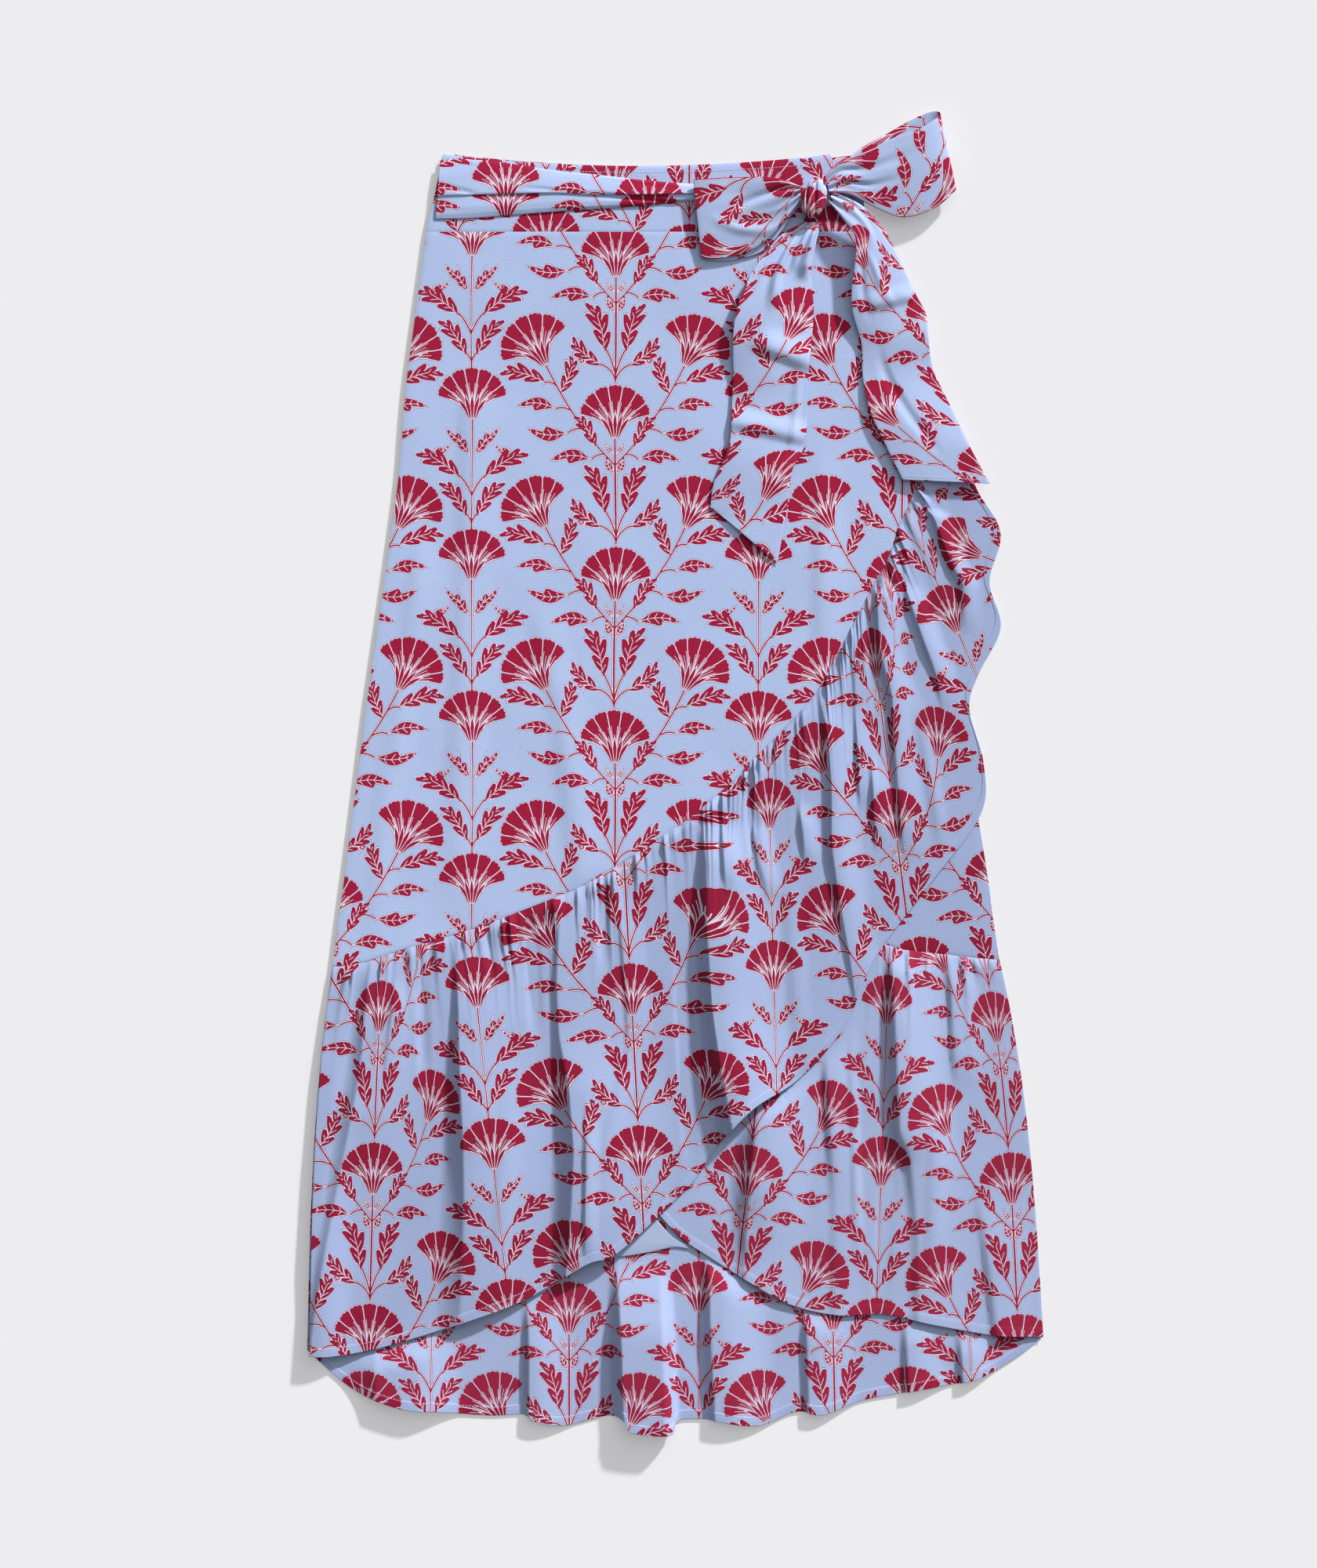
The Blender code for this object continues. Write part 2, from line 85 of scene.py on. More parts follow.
def travelledAlong(line):
    # how far along a line of points each of them is
    return np.concatenate([[0], np.cumsum(np.linalg.norm(np.diff(line, axis=0), axis=1))])


def evenRows(rows, count):
    # count + 1 rows of a table, evenly spaced along the line of its first two columns
    fine = smoothRows(rows, 6 * count)
    travelled = travelledAlong(fine[:, :2])
    wanted = np.linspace(0, travelled[-1], count + 1)
    return np.stack([np.interp(wanted, travelled, column) for column in fine.T], axis=1)


def gridShares(grid):
    # places across and down a grid, each from 0 to 1
    return np.linspace(0, 1, grid[0] + 1)[:, None], np.linspace(0, 1, grid[1] + 1)[None]


def topOf(layer):
    # height of the upper face of a layer, where 0 is the back
    return layer * layers["step"] + layers["wall"]


def blend(low, high, value):
    part = np.clip((value - low) / (high - low), 0, 1)
    return part * part * (3 - 2 * part)


# how uneven each kind of cloth is: height, size and start of the waves
unevenness = {
    "ruffle": (0.5, 80, 2.2), "panel": (0.5, 90, 0.7), "waistband": (0.2, 50, 2.9),
    "turnedHem": (0.2, 40, 1.9), "tie": (0.25, 60, 2.0), "strip": (0.35, 45, 1.1),
    "gathers": (0.0025, 60, 1.3), "printAcross": (1.2, 150, 3.3), "printUp": (1.2, 170, 5.1),
}


def wobble(kind, x, y):
    # soft uneven relief, from a few crossing waves
    rise, size, seed = unevenness[kind]
    total = 0
    for turn in range(5):
        angle = seed + turn * 2.4
        wave = (x * math.cos(angle) + y * math.sin(angle)) / (size * (0.7 + 0.17 * turn))
        total = total + np.sin(wave * 2 * math.pi + seed * (turn + 1) * 1.7)
    return rise * (total / 5)


def outsideOf(points, outline):
    # distance of each point from a closed outline, and 0 inside it
    corners = np.array(outline, float)
    x, y = points[..., 0], points[..., 1]
    inside = np.zeros(x.shape, bool)
    nearest = np.full(x.shape, 1e9)
    for one, two in zip(corners, np.roll(corners, -1, axis=0)):
        if one[1] != two[1]:
            crossing = one[0] + (y - one[1]) * (two[0] - one[0]) / (two[1] - one[1])
            inside ^= ((one[1] > y) != (two[1] > y)) & (crossing > x)
        along = two - one
        part = np.clip(((points - one) @ along) / max(along @ along, 1e-9), 0, 1)
        foot = one + part[..., None] * along
        nearest = np.minimum(nearest, np.linalg.norm(points - foot, axis=-1))
    return np.where(inside, 0, nearest)


def creaseHeight(points, creases):
    # soft ridges (or troughs, if the height is negative), each along a line from one point to another
    # columns: x, y, to x, y, height, width on the line's left, width on its right, fade at both ends
    height = np.zeros(points.shape[:-1])
    for x0, y0, x1, y1, rise, left, right, fade in creases:
        line = np.array([x1 - x0, y1 - y0], float)
        length = np.linalg.norm(line)
        line /= length
        offset = points - np.array([x0, y0])
        along = offset @ line / length
        across = offset @ np.array([-line[1], line[0]])
        width = np.where(across > 0, left, right)
        section = np.where(np.abs(across) < width, (1 + np.cos(math.pi * across / width)) / 2, 0)
        height += rise * section * blend(-fade / 2, fade, along) * blend(1 + fade / 2, 1 - fade, along)
    return height


def addObject(name, mesh, materials):
    data = bpy.data.meshes.new(name)
    mesh.to_mesh(data)
    mesh.free()
    for material in materials:
        data.materials.append(material)
    made = bpy.data.objects.new(name, data)
    bpy.context.scene.collection.objects.link(made)
    return made


def makeShell(name, points, prints, materials, hemRow=None):
    # a cloth shell through a grid of points, with its place on the printed cloth as its UV map
    # its underside has the second material, and so has the upper side from the hem's first row on
    columns, rows = points.shape[0] - 1, points.shape[1] - 1
    mesh = bmesh.new()
    bmesh.ops.create_grid(mesh, x_segments=columns, y_segments=rows, size=0.5)
    printMap = mesh.loops.layers.uv.new("printMap")
    spots = {}
    for vertex in mesh.verts:
        spots[vertex.index] = (round((vertex.co.x + 0.5) * columns), round((0.5 - vertex.co.y) * rows))
    for vertex in mesh.verts:
        vertex.co = Vector(points[spots[vertex.index]]) * mm
    for face in mesh.faces:
        for loop in face.loops:
            loop[printMap].uv = prints[spots[loop.vert.index]] * mm
        if hemRow and min(spots[vertex.index][1] for vertex in face.verts) >= hemRow:
            face.material_index = 1
    shell = addObject(name, mesh, materials)
    shell.data.shade_smooth()
    wall = shell.modifiers.new("thickness", "SOLIDIFY")
    wall.thickness = shellWall * mm
    wall.offset = -1
    wall.material_offset = 1
    shell.modifiers.new("normals", "WEIGHTED_NORMAL").weight = 100      # cut edges don't darken the cloth


# materials

def toLinear(hexColour):
    values = [int(hexColour[start:start + 2], 16) / 255 for start in (1, 3, 5)]
    return (*[v / 12.92 if v <= 0.04045 else ((v + 0.055) / 1.055) ** 2.4 for v in values], 1)


def addMaterial(name, sockets):
    # a material with the values of its shader's own sockets
    material = bpy.data.materials.new(name)
    material.use_nodes = True
    for socket, value in sockets.items():
        material.node_tree.nodes["Principled BSDF"].inputs[socket].default_value = value
    return material


def addNode(tree, kind, settings, *inputs):
    # a node with its settings (or its operation) and what goes into its open sockets, in order
    node = tree.nodes.new("ShaderNode" + kind)
    for name, value in settings.items() if isinstance(settings, dict) else [("operation", settings)]:
        if name == "curve":
            node.mapping.extend = "HORIZONTAL"
            points = node.mapping.curves[0].points
            for _ in value[2:]:
                points.new(0.5, 0.5)
            for point, place in zip(points, value):
                point.location = place
            node.mapping.update()
        else:
            setattr(node, name, value)
    for socket, value in zip([socket for socket in node.inputs if socket.enabled], inputs):
        if isinstance(value, bpy.types.NodeSocket):
            tree.links.new(value, socket)
        elif value is not None:
            socket.default_value = value
    return next(socket for socket in node.outputs if socket.enabled)


# the repeat of the block print, in mm: half of it is drawn and the other half is its mirror image
blockPrint = {
    "halfWidth": 114.0,
    "height": 129.0,
    "keyline": 0.55,        # white line around every red shape
    "fineLine": 0.3,        # thin dark line outside it
    "stemWidth": 2.24,      # with its white lines
    "waver": (1.3, 1.3, 0),             # cut blocks never print quite true, so the lines waver this much
    # how wide each kind of motif is drawn, as a share of its length
    "flowerWidth": 0.62, "sprigWidth": 0.29, "leafWidth": 0.24,
    # how a motif's rib bows: share of its length where it turns back, how sharply, and its offset there
    "sprigBow": (0.5, 0.22, -0.02), "leafBow": (0.4, 0.5, -0.05),
    # base x and y, direction in degrees, length, and -1 for one that is mirrored
    "flower": [(0, 8, 90, 43, 1), (55, 66, 62, 44, 1), (114, 24, 90, 42, 1)],
    "sprig": [
        (8, 78, 76, 36, 1), (12, 66, 38, 28, -1), (43, 44, 112, 28, 1),
        (56, 54, 18, 32, 1), (110, 76, 122, 30, -1), (104, 108, 146, 34, -1), (15, 2, 62, 26, 1),
    ],
    "leaf": [
        (0, 108, 62, 19, -1), (17, -8, 4, 37, 1), (36, 13, 0, 37, -1), (46, 32, 10, 35, 1),
        (113, 124, 122, 26, 1), (113, 4, 152, 26, 1), (24, 64, 60, 16, 1), (0, 124, 50, 14, -1),
        (80, -4, 20, 20, -1),
    ],
    # from x and y, to x and y, and the radius of the arc between them
    "stems": [
        (0, 53, 0, 137, 4000), (114, 66, 114, 153, 4000), (0, -13, 55, 66, 300), (0, 58, 9, 81, -70),
        (0, 54, 12, 67, -18), (8.3, -4, 18, -8, -12), (24.7, 16, 37, 13, -16), (34.5, 30, 47, 32, -14),
        (114, 70, 110, 77, 12), (114, 92, 104, 108, 40), (46.5, 49.5, 56, 52.5, -9),
    ],
    # half angle of a flower's fan at shares of its length, over the widest angle
    "fanOpening": [
        (0, 1), (0.06, 0.86), (0.13, 0.62), (0.22, 0.48), (0.36, 0.46), (0.55, 0.53), (0.75, 0.61),
        (1, 0.65),
    ],
    # how far a sprig's lobes reach, by where they start, and how wide they are from root to tip
    "lobeReach": [(0, 0.005), (0.12, 0.3), (0.3, 0.42), (0.5, 0.45), (0.7, 0.38), (0.85, 0.24), (1, 0.02)],
    "lobeWidth": [(0, 0.86), (0.12, 0.62), (0.35, 0.64), (0.6, 0.56), (0.82, 0.32), (1, 0)],
    "sprigTip": [(0, 0), (0.5, 0.05), (0.66, 0.095), (0.78, 0.095), (0.9, 0.055), (1, 0)],
    # half width of a leaf along its length, on its plain side and on its barbed side
    "plainSide": [(0, 0), (0.08, 0.05), (0.34, 0.165), (0.5, 0.175), (0.7, 0.13), (0.88, 0.07), (1, 0)],
    "barbedSide": [(0, 0), (0.08, 0.05), (0.34, 0.17), (0.52, 0.21), (0.56, 0.13), (0.78, 0.105), (1, 0)],
}


def repeatAround(node, spot, y):
    # the place within the repeat that has this height in its middle
    half, wide = blockPrint["height"] / 2, 1e4
    return node("VectorMath", "WRAP", spot, (wide, y + half, wide), (-wide, y - half, -wide))


def nearestMotif(node, spot, motifs, stretch):
    # the nearest motif's own coordinates: x from -1 at its base to 1 at its end, and z its length in m
    found, shortest = None, None
    for x, y, turn, size, mirrored in motifs:
        angle = math.radians(turn)
        centre = (x + math.cos(angle) * size / 2, y + math.sin(angle) * size / 2)
        local = node("Mapping", {"vector_type": "TEXTURE"}, repeatAround(node, spot, centre[1]),
                     (*centre, -size / 1000), (0, 0, angle), (size / 2, mirrored * stretch * size, 1))
        far = node("VectorMath", "LENGTH", local)
        if found is None:
            found, shortest = local, far
        else:
            nearer = node("Math", "LESS_THAN", far, shortest)
            found = node("Mix", {"data_type": "VECTOR"}, nearer, found, local)
            shortest = node("Math", "MINIMUM", far, shortest)
    size = node("VectorMath", "DOT_PRODUCT", found, (0, 0, 1000))
    return size, node("VectorMath", "MULTIPLY_ADD", found, (0.5, stretch, 0), (0.5, 0, 0))


def bowedMotif(node, spot, kind):
    # length of the nearest sprig or leaf, how far along it a place is, and how far beside its bowed rib
    stretch, (middle, sharpness, offset) = blockPrint[kind + "Width"], blockPrint[kind + "Bow"]
    size, point = nearestMotif(node, spot, blockPrint[kind], stretch)
    along = node("VectorMath", "DOT_PRODUCT", point, (1, 0, 0))
    bend = node("Math", "POWER", node("Math", "ABSOLUTE", node("Math", "SUBTRACT", along, middle)), 2.0)
    bend = node("Math", "MULTIPLY_ADD", bend, sharpness, offset)
    across = node("Math", "ADD", node("VectorMath", "DOT_PRODUCT", point, (0, 1, 0)), bend)
    return size, along, across, node("Math", "ABSOLUTE", across)


def flowerField(node, spot):
    # fans of scalloped petals over a cup of sepals
    petalCount, sepalCount = 7, 5
    scallopCount, strokeCount = 3, 3        # in each petal
    widestAngle = 1.55
    size, point = nearestMotif(node, spot, blockPrint["flower"], blockPrint["flowerWidth"])
    radius = node("VectorMath", "LENGTH", point)
    along = node("VectorMath", "DOT_PRODUCT", point, (1, 0, 0))
    across = node("Math", "ABSOLUTE", node("VectorMath", "DOT_PRODUCT", point, (0, 1, 0)))
    opening = node("FloatCurve", {"curve": blockPrint["fanOpening"]}, 1.0, radius)
    opening = node("Math", "MULTIPLY", opening, widestAngle)
    # 0 on the fan's axis and 1 at its side
    share = node("Math", "DIVIDE", node("Math", "ARCTAN2", across, along), opening)
    arc = node("Math", "MULTIPLY", node("Math", "MULTIPLY", opening, radius), size)
    petals = node("Math", "MULTIPLY_ADD", share, petalCount / 2, 0.5)
    split = node("Math", "PINGPONG", petals, 0.5)           # 0 between two petals, 0.5 on a petal's middle
    crown = node("Math", "POWER", node("Math", "MULTIPLY_ADD", split, -2.0, 1.0), 4.0)
    scallops = node("Math", "SINE", node("Math", "MULTIPLY", petals, scallopCount * math.pi))
    # the rim sinks towards the fan's sides and between the petals, and rises at each scallop
    rim = node("Math", "MULTIPLY_ADD", node("Math", "MULTIPLY", share, share), -0.20, 0.985)
    rim = node("Math", "MULTIPLY_ADD", crown, -0.055, rim)
    rim = node("Math", "MULTIPLY_ADD", node("Math", "ABSOLUTE", scallops), 0.022, rim)
    edge = node("Math", "MULTIPLY", node("Math", "SUBTRACT", rim, radius), size)
    side = node("Math", "MULTIPLY", node("Math", "SUBTRACT", 1.0, share), arc)
    seam = node("Math", "MULTIPLY_ADD", node("Math", "MULTIPLY", split, arc), 2 / petalCount, 0.2)
    # white strokes that fan out from the cup and end unevenly around the middle of the petals
    strokes = node("Math", "MULTIPLY_ADD", petals, float(strokeCount), 0.5)
    strokes = node("Math", "MULTIPLY", node("Math", "PINGPONG", strokes, 0.5), arc)
    strokes = node("Math", "MULTIPLY_ADD", strokes, 2 / (petalCount * strokeCount), 0.37)
    number = node("Math", "FLOOR", node("Math", "MULTIPLY", petals, float(strokeCount)))
    ends = node("TexWhiteNoise", {"noise_dimensions": "1D"}, number)
    ends = node("Math", "MULTIPLY_ADD", ends, 0.22, 0.5)
    beyond = node("Math", "MULTIPLY", node("Math", "SUBTRACT", radius, ends), 60.0)
    strokes = node("Math", "ADD", strokes, node("Math", "MAXIMUM", beyond, 0.0))
    sepals = node("Math", "PINGPONG", node("Math", "MULTIPLY_ADD", share, sepalCount / 2, 0.5), 0.5)
    sepalEdge = node("Math", "SUBTRACT", node("Math", "MULTIPLY_ADD", sepals, 0.46, 0.26), radius)
    sepalEdge = node("Math", "MULTIPLY", node("Math", "MULTIPLY", sepalEdge, size), 0.5)
    sepalSide = node("Math", "MULTIPLY_ADD", node("Math", "MULTIPLY", sepals, arc), 2 / sepalCount, 0.32)
    cup = node("Math", "MINIMUM", node("Math", "ADD", sepalEdge, 0.06), sepalSide)
    fan = node("Math", "MINIMUM", node("Math", "MINIMUM", edge, seam), strokes)
    fan = node("Math", "MINIMUM", fan, node("Math", "MULTIPLY_ADD", sepalEdge, -1.0, 0.06))
    return node("Math", "MINIMUM", node("Math", "MAXIMUM", cup, fan), side)


def sprigField(node, spot):
    # leaves of pointed lobes that sweep forward from a midrib
    lobeCount, sweep = 3.0, 1.35
    pace = 1 / (lobeCount * math.hypot(1, sweep))       # width of one lobe, straight across it
    size, along, across, away = bowedMotif(node, spot, "sprig")
    # lobes are counted along the rib, and those on one side start a little further on
    swept = node("Math", "MULTIPLY", along, lobeCount)
    swept = node("Math", "MULTIPLY_ADD", away, -sweep * lobeCount, swept)
    swept = node("Math", "MULTIPLY_ADD", node("Math", "SIGN", across), 0.16, swept)
    start = node("Math", "MULTIPLY_ADD", node("Math", "FLOOR", swept), 1 / lobeCount, 0.5 / lobeCount)
    lobe = node("Math", "ABSOLUTE", node("Math", "SUBTRACT", node("Math", "FRACT", swept), 0.5))
    lobe = node("Math", "MULTIPLY", lobe, pace)
    reach = node("FloatCurve", {"curve": blockPrint["lobeReach"]}, 1.0, start)
    out = node("Math", "DIVIDE", node("Math", "MULTIPLY", away, math.hypot(1, sweep)), reach)
    width = node("FloatCurve", {"curve": blockPrint["lobeWidth"]}, 1.0, out)
    lobes = node("Math", "SUBTRACT", node("Math", "MULTIPLY", width, pace), lobe)
    past = node("Math", "MAXIMUM", node("Math", "SUBTRACT", out, 1.0), 0.0)
    lobes = node("Math", "MULTIPLY_ADD", past, -0.2, lobes)
    lobes = node("Math", "MINIMUM", lobes, node("Math", "SUBTRACT", 1.0, start))
    tip = node("FloatCurve", {"curve": blockPrint["sprigTip"]}, 1.0, along)
    # fine white veins in the lobes and along the rib
    veins = node("Math", "MULTIPLY_ADD", node("Math", "GREATER_THAN", out, 0.45), 1.0, lobe)
    rib = node("Math", "MULTIPLY_ADD", node("Math", "GREATER_THAN", along, 0.78), 1.0, away)
    veins = node("Math", "MULTIPLY", node("Math", "MINIMUM", veins, rib), size)
    shape = node("Math", "MAXIMUM", lobes, node("Math", "SUBTRACT", tip, away))
    shape = node("Math", "MULTIPLY", node("Math", "SUBTRACT", shape, 0.02), size)
    return node("Math", "MINIMUM", shape, node("Math", "MULTIPLY_ADD", veins, 1.9, 0.14))


def leafField(node, spot):
    # plain leaves with a barb on one side, and buds
    size, along, across, away = bowedMotif(node, spot, "leaf")
    plain = node("FloatCurve", {"curve": blockPrint["plainSide"]}, 1.0, along)
    barbed = node("FloatCurve", {"curve": blockPrint["barbedSide"]}, 1.0, along)
    width = node("Mix", {"data_type": "FLOAT"}, node("Math", "GREATER_THAN", across, 0.0), barbed, plain)
    shape = node("Math", "SUBTRACT", node("Math", "SUBTRACT", width, away), 0.033)
    # white ribs that slant out from a midrib
    ribs = node("Math", "MULTIPLY_ADD", away, -5.0, node("Math", "MULTIPLY", along, 6.5))
    ribs = node("Math", "ABSOLUTE", node("Math", "SUBTRACT", node("Math", "FRACT", ribs), 0.5))
    outer = node("Math", "GREATER_THAN", away, node("Math", "MULTIPLY", width, 0.55))
    ribs = node("Math", "ADD", outer, node("Math", "MULTIPLY", ribs, 0.122))
    rib = node("Math", "ADD", node("Math", "GREATER_THAN", along, 0.75), away)
    ribs = node("Math", "MULTIPLY", node("Math", "MINIMUM", ribs, rib), size)
    shape = node("Math", "MULTIPLY", shape, size)
    return node("Math", "MINIMUM", shape, node("Math", "MULTIPLY_ADD", ribs, 1.9, 0.12))


def stemField(node, spot):
    # arcs from one point to another
    nearest = None
    for x0, y0, x1, y1, bow in blockPrint["stems"]:
        middle = ((x0 + x1) / 2, (y0 + y1) / 2)
        span = math.hypot(x1 - x0, y1 - y0) / 2
        rise = math.copysign(math.sqrt(bow * bow - span * span), bow) / (2 * span)
        hub = (middle[0] - (y1 - y0) * rise, middle[1] + (x1 - x0) * rise, 0)
        near = repeatAround(node, spot, middle[1])
        offset = node("Math", "SUBTRACT", node("VectorMath", "DISTANCE", near, hub), abs(bow))
        beyond = node("Math", "SUBTRACT", node("VectorMath", "DISTANCE", near, (*middle, 0)), span)
        stem = node("Math", "MAXIMUM", node("Math", "ABSOLUTE", offset), beyond)
        nearest = stem if nearest is None else node("Math", "MINIMUM", nearest, stem)
    return node("Math", "SUBTRACT", blockPrint["stemWidth"] / 2, nearest)


def makePrintGroup():
    # distance in mm into the nearest printed shape, for a place on the cloth in metres
    tree = bpy.data.node_groups.new("blockPrint", "ShaderNodeTree")
    tree.interface.new_socket("Place", in_out="INPUT", socket_type="NodeSocketVector")
    tree.interface.new_socket("Depth", in_out="OUTPUT", socket_type="NodeSocketFloat")
    place = tree.nodes.new("NodeGroupInput").outputs["Place"]
    node = partial(addNode, tree)
    node("TexNoise", {"noise_dimensions": "2D"}, place, None, 260.0, 1.0)
    waver = node("VectorMath", "SUBTRACT", tree.nodes[-1].outputs["Color"], (0.5, 0.5, 0.5))
    millimetres = node("VectorMath", "MULTIPLY", place, (1000, 1000, 0))
    node("SeparateXYZ", {}, node("VectorMath", "MULTIPLY_ADD", waver, blockPrint["waver"], millimetres))
    x, y = tree.nodes[-1].outputs[:2]
    spot = node("CombineXYZ", {}, node("Math", "PINGPONG", x, blockPrint["halfWidth"]), y)
    depth = flowerField(node, spot)
    for field in (sprigField, leafField, stemField):
        depth = node("Math", "MAXIMUM", depth, field(node, spot))
    tree.links.new(depth, tree.nodes.new("NodeGroupOutput").inputs["Depth"])
    return tree


printGroup = makePrintGroup()


def makeVoile(name, ground, red, white, fine):
    # cotton voile: fine plain weave, a soft matt nap, and slubs that show as faint lighter threads
    material = addMaterial(name, {
        "Roughness": 0.82, "IOR": 1.53,     # cellulose
        "Specular IOR Level": 0.25, "Sheen Weight": 0.07, "Sheen Roughness": 0.5,
    })
    tree = material.node_tree
    node = partial(addNode, tree)
    node("TexCoord", {})
    place = tree.nodes[-1].outputs["UV"]
    depth = node("Group", {"node_tree": printGroup}, place)
    colour = toLinear(ground)
    for limit, ink in ((-blockPrint["fineLine"], fine), (0.0, white), (blockPrint["keyline"], red)):
        inside = node("Math", "GREATER_THAN", depth, limit)
        colour = node("Mix", {"data_type": "RGBA"}, inside, colour, toLinear(ink))
    # slubs: threads 0.3 mm thick are drawn 1 mm wide and 12 to 17 mm long, so that they show
    weft = node("Mapping", {}, place, None, None, (80, 1000, 1))
    warp = node("Mapping", {}, place, None, None, (1000, 60, 1))
    weft, warp = (node("TexNoise", {"noise_dimensions": "2D"}, way, None, 1.0, 1.0) for way in (weft, warp))
    both = node("Math", "ADD", weft, warp)
    slubs = node("Math", "MULTIPLY_ADD", both, 0.22, 0.78)
    slubs = node("CombineColor", {}, slubs, slubs, slubs)
    colour = node("Mix", {"data_type": "RGBA", "blend_type": "MULTIPLY"}, 1.0, colour, slubs)
    # weave: one wave for each pair of threads, drawn 0.8 mm apart
    threads = node("VectorMath", "SINE", node("VectorMath", "MULTIPLY", place, (7850, 7850, 0)))
    threads = node("VectorMath", "DOT_PRODUCT", threads, (1, 1, 0))
    bump = node("Bump", {}, 0.25, 0.0003, None, node("Math", "MULTIPLY_ADD", threads, 0.12, both))
    shader = tree.nodes["Principled BSDF"]
    tree.links.new(colour, shader.inputs["Base Color"])
    tree.links.new(bump, shader.inputs["Normal"])
    return material


# dye stays strongest on the printed face and shows through paler on the wrong side
voileFace = makeVoile("printedCottonVoileFace", "#afc0e7", "#9c0236", "#e8e1f4", "#6a3a6e")
voileBack = makeVoile("printedCottonVoileWrongSide", "#b0c1e6", "#a1284a", "#dcd6f0", "#8a6a9e")
# the same cloth with painted shade: its colours are darkened for the shade that layers and folds too fine
# to build cast on the skirt's lower part
voilePaintedShade = makeVoile("printedCottonVoilePaintedShade", "#9dacd2", "#8b0030", "#d8d1e4", "#62355f")
voilePaintedShadeBack = makeVoile("printedCottonVoilePaintedShadeWrongSide", "#a1b0d5", "#941439", "#d2cbe2", "#6a3a6e")
# unprinted, for the facing that shows where a hem turns up
plainVoile = makeVoile("plainCottonVoile", "#a9b9d8", "#a9b9d8", "#a9b9d8", "#a9b9d8")
print("materials made")


# ruffles and panels

# what all flat cloth has in common
flatCloth = {
    "coverFade": 14,        # cloth flattens over this width before it goes under another layer
    "deepest": 0.6,         # how far a trough may go below its layer's top
    "ruffleSeamDip": (0.7, 3), "panelSeamDip": (0.15, 3), "bandEdgeDip": (0.3, 0.05),   # depth and width
}
# depth of the hem, how the rows crowd towards the seam, and how far in a bowed side reaches
ruffleForm = {"hem": 7, "crowding": 1.3, "bowReach": 70}


def frontOutline(stations, side, freeEdge):
    # a front's side seam, hem and free edge, as a closed outline
    return [*side, *[tuple(row[2:]) for row in stations], *freeEdge[::-1]]


def pleatHeight(points, pleats):
    # long pleats that run down the cloth: steep on their left, flat on top and soft on their right
    # columns: width of the top and of the right flank, then the line down the left edge of the top,
    # each point with its x and y, the height and the width of the left flank
    height = np.zeros(points.shape[:-1])
    for top, right, line in pleats:
        x, y, rise, left = np.array(line[::-1], float).T
        x, rise, left = (np.interp(points[..., 1], y, values) for values in (x, rise, left))
        offset = points[..., 0] - x
        height += rise * np.clip(1 + offset / left, 0, 1) ** 1.7 * (1 - blend(top, top + right, offset))
    return height


def gatherHeight(place, distance, settings, seed):
    # gathers of uneven widths, heights and reaches, steeper on their left
    count, rise, reach = settings
    start = ruffleForm["hem"]       # they are full this far from the seam
    random = np.random.default_rng(seed)
    edges = np.cumsum(random.uniform(0.2, 1.8, count + 1))
    phase = np.interp(place, (edges - edges[0]) / (edges[-1] - edges[0]), np.arange(count + 1))
    number = np.clip(np.floor(phase), 0, count - 1).astype(int)
    heights, reaches = 0.15 + 1.7 * random.random(count) ** 2, random.uniform(0.3, 1.6, count)
    fade = np.exp(-np.maximum(distance - start, 0) / (reach * reaches[number]))
    part = phase - number
    wave = 1.25 * blend(0, 0.22, part) * (1 - part) ** 1.2
    return rise * heights[number] * wave * fade * (0.3 + 0.7 * blend(0, start, distance))


